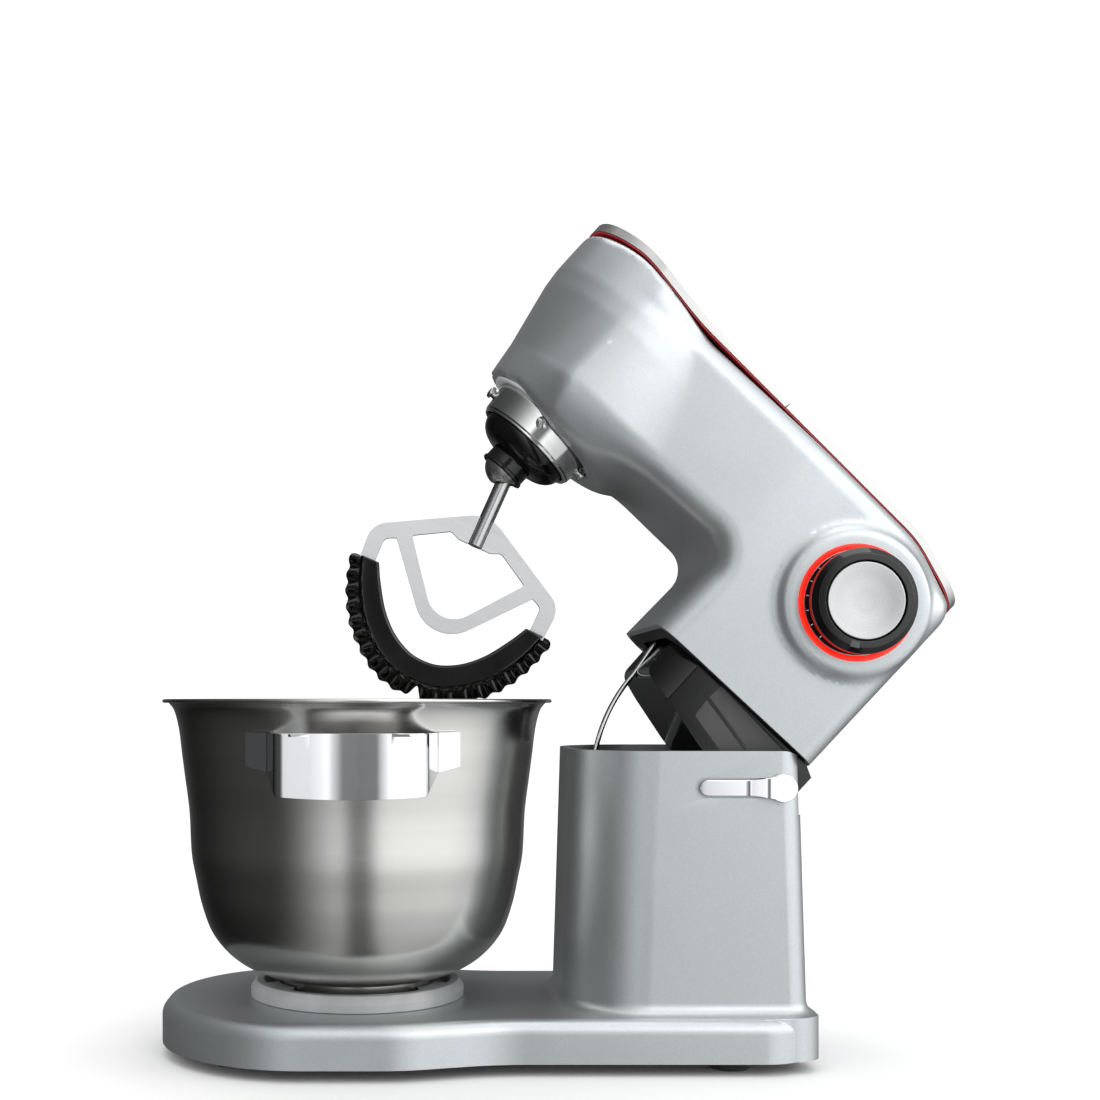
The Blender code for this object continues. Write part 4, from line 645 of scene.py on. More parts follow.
def round_most(first, second, radius):
    """The greater of two distances, with a round edge where the two surfaces meet."""
    a, b = first + radius, second + radius
    return np.minimum(np.maximum(a, b), 0) + np.hypot(np.maximum(a, 0), np.maximum(b, 0)) - radius


# %% A skin over a field
def field_skin(field, low, high, cell):
    """Points and quads of the surface where a field of (x, y, z) is zero."""
    ticks = [np.arange(start, stop + cell, cell) for start, stop in zip(low, high)]
    value = field(*np.meshgrid(*ticks, indexing="ij", sparse=True))
    inside = value < 0
    corners = [
        inside[i : i + inside.shape[0] - 1, j : j + inside.shape[1] - 1, k : k + inside.shape[2] - 1]
        for i in (0, 1)
        for j in (0, 1)
        for k in (0, 1)
    ]
    crossed = np.logical_or.reduce(corners) & ~np.logical_and.reduce(corners)
    index = np.full(crossed.shape, -1)
    index[crossed] = np.arange(crossed.sum())
    cells = np.argwhere(crossed)
    middle = np.stack([ticks[axis][cells[:, axis]] for axis in range(3)], axis=1) + cell / 2
    points = middle.copy()
    reach = cell * 0.05
    for _ in range(5):
        here = field(*points.T)
        slope = np.stack(
            [(field(*(points + reach * unit).T) - here) / reach for unit in np.eye(3)], axis=1
        )
        points -= slope * (here / np.maximum((slope**2).sum(axis=1), 0.1))[:, None]
        points = np.clip(points, middle - cell * 0.75, middle + cell * 0.75)
    faces = []
    steps = np.eye(3, dtype=int)
    for axis in range(3):
        u, v = steps[(axis + 1) % 3], steps[(axis + 2) % 3]
        first = inside[tuple(slice(0, -1) if a == axis else slice(1, -1) for a in range(3))]
        second = inside[tuple(slice(1, None) if a == axis else slice(1, -1) for a in range(3))]
        at = np.argwhere(first != second)
        outwards = first[tuple(at.T)]
        at = at + 1 - steps[axis]
        loop = np.stack([index[tuple(spot.T)] for spot in (at - u - v, at - v, at, at - u)], axis=1)
        loop[~outwards] = loop[~outwards][:, ::-1]
        faces.append(loop)
    return points, np.vstack(faces)


# %% Outlines of the head
HEAD_REAR, THROAT, UNDERSIDE, SEAM = 0.2400, 0.1225, 0.2290, 0.1736
HALF, NOSE_HALF, NOSE_MIDDLE = 0.0660, 0.0578, 0.0015
COVER_EDGE, TRIM = 0.0043, 0.0014
TOP_EDGE = [
    (-0.0555, 0.3240, 0.006),
    (-0.0200, 0.3235, 0.090),
    (0.0280, 0.3160, 0.160),
    (0.1960, 0.3100, 0.070),
    (0.2385, 0.2960, 0.012),
]
shell_top = [(x, z - COVER_EDGE - TRIM, radius) for x, z, radius in TOP_EDGE]
side_outline = rounded(
    [(HEAD_REAR, SEAM - 0.03, 0), (HEAD_REAR, shell_top[-1][1] - 0.003, 0.016)]
    + shell_top[-2:0:-1]
    + [(-0.08, shell_top[1][1] + 0.002, 0), (-0.08, UNDERSIDE, 0)]
    + [(THROAT + 0.001, UNDERSIDE, 0.016), (THROAT - 0.001, SEAM - 0.03, 0)],
    3.0,
)
plan_outline = rounded(
    [(0.0, -NOSE_HALF + 0.004, 0), (0.120, -HALF, 0.2), (HEAD_REAR, -HALF, 0.012)]
    + [(HEAD_REAR, HALF, 0.012), (0.120, HALF, 0.2), (0.0, NOSE_HALF - 0.004, 0)],
    3.0,
)
barrel_outline = [(-0.01, 0.2240), (0.0453, 0.2240), (0.0480, 0.2430), (0.0535, 0.2680), (0.0563, 0.2810)]
barrel_outline += [(0.0576, 0.2920), (0.0578, 0.3050), (0.0578, 0.3600), (-0.01, 0.3600)]
top_outline = rounded(
    [(0.30, 0.16, 0), (0.30, 0.285, 0)] + shell_top[::-1] + [(-0.2, 0.3183, 0), (-0.2, 0.16, 0)], 3.0
)
BOSS_RADIUS, BOSS_HEIGHT = 0.0395, 0.0042


# %% The head's field
def head_field(x, y, z):
    """Distance to the painted head skin, its neck still running on below the seam."""
    side = outline_distance(side_outline, *np.broadcast_arrays(x, z))
    plan = outline_distance(plan_outline, *np.broadcast_arrays(x, y))
    arm = round_most(side, plan, 0.013)
    across = np.hypot(x - NOSE_MIDDLE, y)
    barrel = outline_distance(barrel_outline, *np.broadcast_arrays(across, z))
    top = outline_distance(top_outline, *np.broadcast_arrays(x, z))
    barrel = round_most(barrel, top, 0.003)
    blend = 0.009 + 0.030 * np.clip((0.300 - z) / 0.060, 0, 1)
    skin = round_most(soft_least(arm, barrel, blend), top, 0.003)
    boss_reach = np.hypot(x - KNOB_X, z - KNOB_Z)
    boss = round_most(boss_reach - BOSS_RADIUS, -(y + HALF + BOSS_HEIGHT - 0.0004), 0.0022)
    boss = np.maximum(boss, y)
    return soft_least(skin, boss, 0.0065)


points, faces = field_skin(head_field, (-0.0605, -0.0745, 0.1600), (0.2445, 0.0700, 0.3290), 0.0021)
head_shell = solid("head_skin", points, faces, PAINT, None, 60)
print("head field:", len(points), "points")


# %% [markdown]
# The skin is still a closed solid that runs on below its seam. It is cut off level at the seam, given
# round openings for the drive and the two outlets, and thickened inwards to a cast wall. Points near each
# opening are pulled exactly onto its circle, so the openings are true circles on an uneven grid.

# %% Cutting the skin open
def opened(piece, seam, holes):
    """Cuts a skin off level and takes the faces over each round (x, y, radius, lowest, highest) hole."""
    work = bmesh.new()
    work.from_mesh(piece.data)
    everything = work.verts[:] + work.edges[:] + work.faces[:]
    bmesh.ops.bisect_plane(
        work, geom=everything, plane_co=(0, 0, seam), plane_no=(0, 0, 1), clear_inner=True
    )
    for x, y, radius, low, high in holes:
        gone = []
        for face in work.faces:
            spot = face.calc_center_median()
            if low < spot.z < high and math.hypot(spot.x - x, spot.y - y) < radius:
                gone.append(face)
        bmesh.ops.delete(work, geom=gone, context="FACES")
        for vert in work.verts:
            reach = math.hypot(vert.co.x - x, vert.co.y - y)
            if vert.is_boundary and low < vert.co.z < high and abs(reach - radius) < 0.004:
                vert.co.x = x + (vert.co.x - x) * radius / reach
                vert.co.y = y + (vert.co.y - y) * radius / reach
    work.to_mesh(piece.data)
    work.free()


OUTLET_X = 0.1780
holes = [(0, 0, 0.0381, 0.20, 0.23), (0, 0, 0.0173, 0.30, 0.33), (OUTLET_X, 0, 0.0173, 0.29, 0.33)]
opened(head_shell, SEAM, holes)
wall = head_shell.modifiers.new("cast_wall", "SOLIDIFY")
wall.thickness = 0.003
wall.offset = -1
settle(head_shell, 50)
head_shell.data.transform(HEAD)
belongs(head_shell, "head", "silver_paint", "head_shell", "knob_boss")

# %% [markdown]
# ## The steel covers and the red line
#
# Two sheet covers lie on top of the head, and each lifts off its outlet. A thin red line runs round under
# their edge. All three follow the same top edge, so each is a layer between two depths below that edge,
# slightly crowned across, and trimmed to a plan outline with a round nose.

# %% Layers along the top edge
COVER_HALF, COVER_SPLIT_X, COVER_SPLIT = 0.0535, 0.0930, 0.0010
COVER_FRONT, COVER_REAR, TRIM_GAP = TOP_EDGE[0][0], TOP_EDGE[-1][0], 0.0003
edge_line = rounded([(-0.2, 0.3245, 0)] + TOP_EDGE + [(0.30, 0.20, 0)], 2.0)[1:-1]


def cover_plan(shrink):
    half, front, rear = COVER_HALF - shrink, COVER_FRONT + shrink, COVER_REAR - shrink
    nose, corner = half - 0.004, 0.018 - shrink
    return nosed_plan(front, rear, half, nose, corner, 2.5)


def top_layer(name, low, high, start, end, shrink, crown, skin, across=24):
    """A crowned layer between two depths below the top edge, trimmed to the covers' plan."""
    spots = [(x, z) for x, z in edge_line if start < x < end]
    ends = np.interp((start, end), [x for x, _ in edge_line], [z for _, z in edge_line])
    spots = [(start, ends[0])] + spots + [(end, ends[1])]
    points = []
    for step in range(across + 1):
        share = -1 + 2 * step / across
        raised = crown * (1 - share * share)
        points += [(x, share * COVER_HALF, z - low) for x, z in spots]
        points += [(x, share * COVER_HALF, z - high + raised) for x, z in reversed(spots)]
    layer = solid(name, points, loft_faces(across + 1, 2 * len(spots)), skin)
    return carve(layer, pushed("plan", cover_plan(shrink), 0.2, 0.4, None, None), operation="INTERSECT")


def steel_cover(name, start, end):
    """A sheet cover with a turned-down edge."""
    sheet, crown = 0.0018, 0.002
    cover = top_layer(f"{name}_sheet", COVER_EDGE, 0, start, end, 0, crown, COVER_STEEL)
    carve(cover, top_layer("hollow", 0.020, sheet, start + sheet, end - sheet, sheet, crown, None))
    softened(cover, 0.0005, 2, 40)
    cover.data.transform(HEAD)
    return belongs(cover, name, "brushed_steel", name)


steel_cover("front_cover", COVER_FRONT, COVER_SPLIT_X - COVER_SPLIT / 2)
steel_cover("rear_cover", COVER_SPLIT_X + COVER_SPLIT / 2, COVER_REAR)
low, high = COVER_EDGE + TRIM - TRIM_GAP, COVER_EDGE + TRIM_GAP
red_line = top_layer("red_line", low, high, COVER_FRONT, COVER_REAR, 0.0002, 0, TRIM_RED)
carve(red_line, pushed("inside", cover_plan(0.0045), 0.2, 0.4, None, None))
red_line.data.transform(HEAD)
belongs(red_line, "head", "red_trim", "trim_line")


# %% The outlets under the covers
def outlet(name, x):
    """A moulded cup with a flange, sunk in the head round an attachment drive."""
    top = np.interp(x, [x for x, _ in edge_line], [z for _, z in edge_line]) - COVER_EDGE - TRIM + 0.0010
    low = top - 0.0120
    profile = [
        (0.0095, low, 0), (0.0170, low, 0.0008), (0.0170, top - 0.0008, 0), (0.0186, top - 0.0008, 0.0002)
    ]
    profile += [
        (0.0186, top, 0.0005), (0.0150, top, 0.0005), (0.0150, low + 0.002, 0.0006),
        (0.0095, low + 0.002, 0)
    ]
    cup = spun_piece(f"{name}_cup", profile, LIGHT_GREY, HEAD @ Matrix.Translation((x, 0, 0)), 64)
    return belongs(cup, "head", "grey_plastic", name)


outlet("front_outlet", 0.0)
outlet("rear_outlet", OUTLET_X)

# %% [markdown]
# ## The speed knob
#
# The knob stands in a raised round of the head skin. Round it lie a lit red ring and a smoked window with
# printed ticks. The knob is gloss black with a turned metal cap, a bevel, and a small pointer.

# %% Ring, window and knob
lamp = [(0.0287, 0.0003, 0), (0.0319, 0.0003, 0), (0.0319, 0.0050, 0.0010), (0.0287, 0.0046, 0.0006)]
belongs(spun_piece("lit_ring", lamp, LAMP_RED, KNOB_PLACE, 128), "head", "red_lamp", "lamp_ring")
window = [(0.0040, 0.0003, 0), (0.0284, 0.0003, 0), (0.0284, 0.0042, 0.0003), (0.0040, 0.0036, 0)]
belongs(
    spun_piece("smoked_dial", window, WINDOW_DARK, KNOB_PLACE, 128), "head", "black_gloss", "dial_window"
)
body = [(0.0034, 0.0048, 0), (0.0243, 0.0048, 0.0006), (0.0256, 0.0078, 0.0020), (0.0283, 0.0125, 0.0020)]
body += [
    (0.0283, 0.0178, 0.0012), (0.0252, 0.0208, 0.0010), (0.0216, 0.0210, 0.0004), (0.0208, 0.0194, 0.0002)
]
knob_body = spun_piece("knob_body", body + [(0.0034, 0.0194, 0)], GLOSS_BLACK, KNOB_PLACE, 128)
belongs(knob_body, "speed_knob", "black_gloss", "speed_knob")
cap = [
    (0.0, 0.0197, 0), (0.0205, 0.0197, 0), (0.0205, 0.0209, 0.0003), (0.0196, 0.0209, 0),
    (0.0150, 0.0206, 0)
]
cap += [(0.0100, 0.02035, 0), (0.0050, 0.0202, 0), (0.0, 0.02015, 0)]
belongs(
    spun_piece("knob_disc", cap, CAP_METAL, KNOB_PLACE, 128), "speed_knob", "brushed_steel", "knob_cap"
)

# %% Ticks on the window and the pointer
tick_tree = round_repeat("dial_ticks", MARK_WHITE)
mark = rounded(box_corners(-0.0007, -0.0002, 0.0007, 0.0002))
mark = pushed("mark", mark, -0.0001, 0.00012, MARK_WHITE, None)
sizes = {"Count": 11, "Radius": 0.0272, "Height": 0.0042, "First Angle": 96.0, "Step": 17.0}
belongs(grown("dial_marks", tick_tree, sizes, mark, KNOB_PLACE), "head", "grey_plastic")
pointer = [
    (0.0222, -0.0022, 0.0004), (0.0256, -0.0026, 0.0004), (0.0256, 0.0026, 0.0004),
    (0.0222, 0.0022, 0.0004)
]
pointer_place = KNOB_PLACE @ Matrix.Rotation(math.radians(-62), 4, "Z")
pointer = pushed("knob_pointer", rounded(pointer), 0.0200, 0.0212, SATIN_BLACK, pointer_place)
belongs(pointer, "speed_knob", "black_gloss")

# %% [markdown]
# ## The planetary drive
#
# Under the nose a grey skirt ring closes the painted skin. A chrome ring with four bayonet studs stands
# still, and inside it the black dome turns on the bowl's axis. The dome carries a small collar and a round
# cup, and the slanted spindle comes out through them. They are all turned parts, so each is spun.

# %% Rings and dome
skirt = [(0.0337, 0.2268, 0), (0.0378, 0.2268, 0), (0.0378, 0.2236, 0), (0.0392, 0.2236, 0.0003)]
skirt += [
    (0.0390, 0.2226, 0.0005), (0.0376, 0.2222, 0.0008), (0.0352, 0.2225, 0.0008), (0.0337, 0.2230, 0.0003)
]
belongs(spun_piece("nose_skirt", skirt, LIGHT_GREY, HEAD, 128), "head", "grey_plastic", "skirt_ring")
ring = [
    (0.0292, 0.2060, 0.0003), (0.0300, 0.2050, 0.0004), (0.0311, 0.2050, 0.0005), (0.0313, 0.2064, 0.0003)
]
ring += [
    (0.0320, 0.2070, 0.0006), (0.0335, 0.2205, 0.010), (0.0335, 0.2268, 0), (0.0317, 0.2268, 0),
    (0.0317, 0.2202, 0)
]
drive_ring = spun_piece("bayonet_ring", ring, DRIVE_CHROME, HEAD, 160)

# %% Studs round the ring
stud_tree = round_repeat("bayonet_studs", DRIVE_CHROME)
stud = [
    (0, -0.0030, 0), (0.0024, -0.0030, 0), (0.0024, 0.0, 0.0003), (0.0036, 0.0002, 0.0005),
    (0.0036, 0.0021, 0.0009)
]
stud += [(0.0016, 0.0030, 0.0004), (0.0012, 0.0025, 0.0002), (0, 0.0025, 0)]
seed = spun_piece("stud", stud, DRIVE_CHROME, Matrix.Rotation(math.pi / 2, 4, "Y"), 32)
sizes = {"Count": 4, "Radius": 0.0346, "Height": 0.2155, "First Angle": 0.0, "Step": 90.0}
studs = grown("studs", stud_tree, sizes, seed, HEAD)
belongs(drive_ring, "head", "chrome", "drive_ring")
belongs(studs, "head", "chrome")

# %% Dome, collar and cup with the spindle's way through them
spindle_local = Matrix.Translation(SPINDLE_POINT) @ Matrix.Rotation(SLANT, 4, "Y")


def spindle_way():
    return spun_piece("spindle_way", rod_profile(0.0070, -0.05, 0.09), None, spindle_local, 48)


bulge = [
    (0.0138 + 0.0142 * math.cos(a), 0.2052 - 0.0112 * math.sin(a), 0) for a in np.radians(range(0, 91, 6))
]
dome = bulge + [(0.0090, 0.1940, 0), (0.0090, 0.1962, 0)]
dome += [(r - 0.0022, z + 0.0020, 0) for r, z, _ in bulge[:-1][::-1]]
dome += [(0.0258, 0.2230, 0), (0.0, 0.2230, 0), (0.0, 0.2260, 0), (0.0280, 0.2260, 0)]
dome = spun_piece("black_dome", dome, GLOSS_BLACK, None, 128)
carve(dome, spindle_way())
dome.data.transform(HEAD)
belongs(dome, "drive_carrier", "black_gloss", "planet_dome")
collar = [
    (0.0125, 0.1849, 0.0002), (0.0128, 0.1847, 0.0002), (0.0140, 0.1852, 0.0004), (0.0140, 0.1868, 0.0003)
]
collar += [
    (0.0133, 0.1873, 0.0003), (0.0133, 0.1928, 0.0005), (0.0136, 0.1937, 0.0002), (0.0125, 0.1937, 0)
]
belongs(
    spun_piece("drive_collar", collar, GLOSS_BLACK, HEAD, 96), "drive_carrier", "black_gloss", "hub_ring"
)
ball = [(0.0122 * math.sin(a), 0.1892 - 0.0122 * math.cos(a), 0) for a in np.radians(range(0, 91, 5))]
cup = spun_piece("spindle_cup", ball + [(0.0122, 0.1937, 0), (0, 0.1937, 0)], CUP_METAL, None, 96)
carve(cup, spindle_way())
cup.data.transform(HEAD)
belongs(cup, "drive_carrier", "cast_aluminium", "tool_cup")

# %% Spindle and tool shaft
length = (0.2420 - SPINDLE_POINT.z) / math.cos(SLANT)
spindle = [(0.0048, -0.0012, 0.0003), (0.0064, -0.0008, 0.0006), (0.0064, length - 0.011, 0.0002)]
spindle += [
    (0.0044, length - 0.011, 0), (0.0044, length, 0), (0, length, 0), (0, 0.023, 0), (0.0048, 0.023, 0)
]
belongs(
    spun_piece("slanted_spindle", spindle, CUP_METAL, TOOL, 64), "tool_spindle", "machined_steel",
    "tool_spindle"
)
shaft = [(0, -0.0430, 0), (0.0041, -0.0430, 0.0003), (0.0045, -0.0424, 0.0004), (0.0045, 0.0205, 0.0010)]
shaft += [(0.0035, 0.0220, 0.0004), (0, 0.0220, 0)]
belongs(
    spun_piece("turned_shaft", shaft, TOOL_STEEL, TOOL, 64), "mixing_tool", "machined_steel", "tool_shaft"
)

# %% [markdown]
# ## The scraper tool
#
# A flat cast frame is fixed to the shaft. Along its lower edge it carries a silicone wiper with a thick
# body and a thin, fluted lip that bends against the bowl. The frame is an outline with two openings and
# softened edges. The wiper is swept from its left end to its right end, and its section changes from the
# body to the lip, whose waves grow towards the edge.

# %% The cast frame
def both_sides(half):
    """Full outline from the half on one side of the axis, as (along, across, radius) corners."""
    return half + [(along, -across, radius) for along, across, radius in reversed(half) if across > 0]


def tool_outline(corners):
    return [(across, -along) for along, across in rounded(corners)]


outer = [(0.0222, 0.0, 0.021), (0.0555, 0.0600, 0.013), (0.0770, 0.0587, 0), (0.0770, 0.0497, 0)]
outer += [(0.0600, 0.0500, 0.0042), (0.0570, 0.0437, 0.0012), (0.1090, 0.0, 0.022)]
opening = [(0.0430, 0.0, 0), (0.0430, 0.0100, 0.002), (0.0405, 0.0160, 0.003)]
opening += [(0.0520, 0.0360, 0.0015), (0.0980, 0.0, 0.016)]
PLATE_HALF = 0.0023
plate = pushed(
    "cast_frame", tool_outline(both_sides(outer)), -PLATE_HALF, PLATE_HALF, FRAME_METAL, None, "Y"
)
carve(plate, pushed("opening", tool_outline(both_sides(opening)), -0.01, 0.01, None, None, "Y"))
seat = spun_piece("seat", rod_profile(0.0048, -0.0430, 0), None, None, 48)
carve(plate, seat)
softened(plate, 0.0006, 3, 40)
plate.data.transform(TOOL)
belongs(plate, "mixing_tool", "cast_aluminium", "whisk_frame")

# %% The wiper
inner_half = [(0.0745, 0.0470), (0.0845, 0.0415), (0.0985, 0.0320), (0.1085, 0.0215), (0.1145, 0.0100)]
outer_half = [(0.0750, 0.0655), (0.0940, 0.0600), (0.1120, 0.0505), (0.1260, 0.0370), (0.1365, 0.0200)]
inner_line = eased(inner_half + [(0.1160, 0.0)] + [(u, -v) for u, v in inner_half[::-1]], 321)
outer_line = eased(outer_half + [(0.1395, 0.0)] + [(u, -v) for u, v in outer_half[::-1]], 321)
LIP_SHARE = 0.56
section = [
    (0.0, 2.2), (0.03, 4.2), (0.09, 4.75), (0.50, 4.75), (0.545, 4.55), (0.57, 3.9), (0.60, 2.7),
    (0.64, 2.1)
]
section += [(0.72, 1.75), (0.82, 1.5), (0.92, 1.25), (0.975, 1.0), (1.0, 0.5)]
waves = 21
points = []
for step, (inner, outside) in enumerate(zip(inner_line, outer_line)):
    share = step / (len(inner_line) - 1)
    phase = 2 * math.pi * waves * share
    notch = math.exp(-(((share - 0.485) / 0.016) ** 2))
    ends = min(1, min(share, 1 - share) / 0.012)
    round_end = math.sqrt(max(0.02, 1 - (1 - ends) ** 2))
    loop = []
    for reach, half in section:
        thin = max(0, (reach - LIP_SHARE) / (1 - LIP_SHARE))
        pull = reach - thin * (0.035 * (1 + math.cos(phase)) + 0.30 * notch + 0.16 * (1 - round_end))
        spot = inner + (outside - inner) * pull
        wave = 0.0021 * thin**0.6 * math.sin(phase)
        loop.append((spot, wave, half * 0.001 * (0.9 + 0.1 * round_end)))
    points += [(spot[1], wave - half, -spot[0]) for spot, wave, half in loop]
    points += [(spot[1], wave + half, -spot[0]) for spot, wave, half in reversed(loop)]
wiper = solid(
    "silicone_wiper_blade", points, loft_faces(len(inner_line), 2 * len(section)), SILICONE, None, 40
)
wiper.data.transform(TOOL)
belongs(wiper, "mixing_tool", "black_silicone", "silicone_wiper")

# %% [markdown]
# ## The bowl and its handle
#
# The bowl is spun sheet steel with a thin flared lip that is rolled down at its rim. One smooth curve
# gives its outer side, and the inner side is the same curve moved in by the sheet's thickness. The handle
# is one strip of polished sheet, bent out from two welded tabs, with a bowed lower edge.

# %% The bowl
LIP_RADIUS, LIP_Z, SHEET, FLOOR_Z = 0.1130, 0.2018, 0.0012, 0.0430
knots = [
    (0.1095, 0.1996), (0.1062, 0.1950), (0.1036, 0.1850), (0.1018, 0.1710), (0.1000, 0.1570),
    (0.0981, 0.1430)
]
knots += [
    (0.0972, 0.1330), (0.0962, 0.1130), (0.0937, 0.0990), (0.0902, 0.0830), (0.0842, 0.0672),
    (0.0738, 0.0546)
]
knots += [(0.0608, 0.0462), (0.0460, FLOOR_Z - SHEET), (0.0300, FLOOR_Z - SHEET)]
side_curve = eased(knots, 90)
ahead = np.gradient(side_curve, axis=0)
ahead /= np.linalg.norm(ahead, axis=1)[:, None]
inner_curve = side_curve + np.stack([ahead[:, 1], -ahead[:, 0]], axis=1) * SHEET
rim = [
    (LIP_RADIUS - 0.0012, LIP_Z - 0.0002), (LIP_RADIUS - 0.0003, LIP_Z - 0.0006),
    (LIP_RADIUS, LIP_Z - 0.0014)
]
rim += [(LIP_RADIUS - 0.0003, LIP_Z - 0.0022), (LIP_RADIUS - 0.0012, LIP_Z - 0.0024)]
profile = [(0, FLOOR_Z)] + [tuple(spot) for spot in inner_curve[::-1]] + rim
profile += [tuple(spot) for spot in side_curve] + [(0, FLOOR_Z - SHEET)]
bowl = spun_piece("steel_bowl", [(r, z, 0) for r, z in profile], BOWL_STEEL, BASE, 192, 60)
belongs(bowl, "bowl", "brushed_steel", "bowl")

# %% The foot ring, its lugs and the seat they lock into
foot = [(0.0415, 0.0343, 0.0005), (0.0455, 0.0343, 0.0008), (0.0455, 0.0415, 0), (0.0415, 0.0415, 0)]
foot_ring = spun_piece("bowl_foot", foot, BOWL_STEEL, BASE, 128)
belongs(foot_ring, "bowl", "brushed_steel", "bowl_foot_ring")


def ring_part(name, inner, outer, span_deg, low, high, skin):
    """Part of a flat ring about the origin, its middle on the X axis."""
    half = span_deg / 2
    outline = arc(0, 0, outer, -half, half, 12) + arc(0, 0, inner, half, -half, 12)
    return softened(pushed(name, outline, low, high, skin, None), 0.0003, 2)


thirds = {"Count": 3, "Radius": 0.0, "Height": 0.0, "First Angle": 90.0, "Step": 120.0}
lug_tree = round_repeat("bowl_lugs", BOWL_STEEL)
lug = ring_part("lug", 0.0440, 0.0510, 20, 0.0350, 0.0369, BOWL_STEEL)
belongs(grown("foot_lugs", lug_tree, thirds, lug, BASE), "bowl", "brushed_steel")
seat = [(0, 0.0303, 0), (0.0620, 0.0303, 0), (0.0620, 0.0350, 0.0010), (0.0590, 0.0393, 0.0012)]
seat += [(0.0540, 0.0393, 0.0008), (0.0540, 0.0335, 0.0005), (0, 0.0335, 0)]
belongs(spun_piece("seat_dish", seat, LIGHT_GREY, BASE, 128), "base", "grey_plastic", "bowl_seat")
tab_tree = round_repeat("seat_tabs", LIGHT_GREY)
tab = ring_part("tab", 0.0470, 0.0550, 24, 0.0377, 0.0391, LIGHT_GREY)
belongs(grown("seat_tabs", tab_tree, thirds, tab, BASE), "base", "grey_plastic")

# %% The handle
HANDLE_TOP, HANDLE_LOW, HANDLE_SHEET = 0.1840, 0.1520, 0.0016
half = [
    (-0.0560, -0.0894, 0), (-0.0440, -0.0958, 0.0020), (-0.0380, -0.1222, 0.0060),
    (-0.0120, -0.1255, 0.090)
]
route = rounded(half + [(-x, y, radius) for x, y, radius in reversed(half)], 5.0)
fine = []
for (ax, ay), (bx, by) in zip(route, route[1:]):
    steps = max(1, int(math.hypot(bx - ax, by - ay) / 0.0025))
    fine += [(ax + (bx - ax) * step / steps, ay + (by - ay) * step / steps) for step in range(steps)]
fine.append(route[-1])
points = []
for x, y in fine:
    reach = abs(x)
    bowed = HANDLE_LOW - 0.0014 * (1 - (reach / 0.0375) ** 2)
    slanted = np.interp(reach, (0.0375, 0.0440, 0.0562), (HANDLE_LOW, 0.1630, 0.1660))
    low = bowed if reach < 0.0375 else slanted
    points += [(x, y, low + (HANDLE_TOP - low) * share) for share in (0, 0.02, 0.25, 0.5, 0.75, 0.98, 1)]
rows = 7
faces = []
for step in range(len(fine) - 1):
    for row in range(rows - 1):
        low = step * rows + row
        faces.append((low, low + rows, low + rows + 1, low + 1))
handle = solid("handle_strip", points, faces, CHROME, None, 50)
thick = handle.modifiers.new("sheet", "SOLIDIFY")
thick.thickness = HANDLE_SHEET
thick.offset = 0
settle(handle, 40)
lip = [
    (-0.0325, -0.1252, 0.002), (0.0325, -0.1252, 0.002), (0.0290, -0.1170, 0.003),
    (-0.0290, -0.1170, 0.003)
]
lip = pushed("lip", rounded(lip), HANDLE_TOP - 0.0016, HANDLE_TOP - 0.0002, CHROME, None)
carve(handle, lip, operation="UNION", crease=40)
softened(handle, 0.0004, 2, 50, 40)
handle.data.transform(BASE)
belongs(handle, "bowl", "chrome", "bowl_handle")

# %% [markdown]
# ## The base
#
# The base is one cast shell: a low foot that is broad under the bowl, and a column with a round front. The
# column is lofted so that it flares into the foot with a fillet, then the well that takes the shroud, the
# lever's recess and the cord's hole are cut, and every cut edge gets a small round.

# %% Plans of the base
SHELL_LOW, DECK_Z, BASE_TOP = 0.0065, 0.0300, SEAM - 0.0003
NOTCH_Z, CHEEK = 0.1380, 0.005
COLUMN_FRONT, COLUMN_REAR, COLUMN_NOSE = 0.1208, 0.2430, 0.045


def column_plan(grow, draft=0.0):
    front, rear, side = COLUMN_FRONT - grow - draft, COLUMN_REAR + grow + draft, HALF + grow
    nose, corner = COLUMN_NOSE + grow, 0.012 + grow
    return nosed_plan(front, rear, side, nose, corner, 4.0)


def foot_plan(shrink):
    waist, front, rear = 0.0758, -0.112 + shrink, 0.250 - shrink
    wide, narrow = 0.092 - shrink, 0.078 - shrink
    half = [
        (rear, narrow, 0.030 - shrink), (waist, narrow, 0.12 + shrink),
        (waist - 0.05, wide, 0.08 - shrink)
    ]
    half.append((front, wide, 0.085 - shrink))
    return rounded(half + [(x, -y, radius) for x, y, radius in reversed(half)], 4.0)


def stacked(name, levels, skin):
    """A solid through plans of equal point count at rising levels."""
    count = len(levels[0][0])
    points = [(x, y, z) for plan, z in levels for x, y in plan]
    return solid(name, points, loft_faces(len(levels), count), skin)


# %% Column, foot and their union
levels = [(column_plan(0.007, 0.0045), SHELL_LOW), (column_plan(0.007, 0.0045), DECK_Z - 0.001)]
for angle in range(0, 91, 15):
    grow = 0.007 * (1 - math.sin(math.radians(angle)))
    rise = 0.007 * (1 - math.cos(math.radians(angle)))
    levels.append((column_plan(grow, 0.0045 * (1 - rise / 0.14)), DECK_Z + rise))
for step in range(1, 9):
    share = step / 8
    z = DECK_Z + 0.007 + (BASE_TOP - DECK_Z - 0.007) * share
    levels.append((column_plan(0, 0.0043 * (1 - share)), z))
base = stacked("cast_base", levels, PAINT)
reach = BASE_TOP - PIVOT.z
end_deg = math.degrees(math.acos((COLUMN_REAR - PIVOT.x) / reach))
side = [(-0.112, 0.0), (0.252, 0.0), (0.252, PIVOT.z), (0.2433, PIVOT.z)]
side += arc(PIVOT.x, PIVOT.z, reach, end_deg, 90, 16) + [(-0.112, BASE_TOP)]
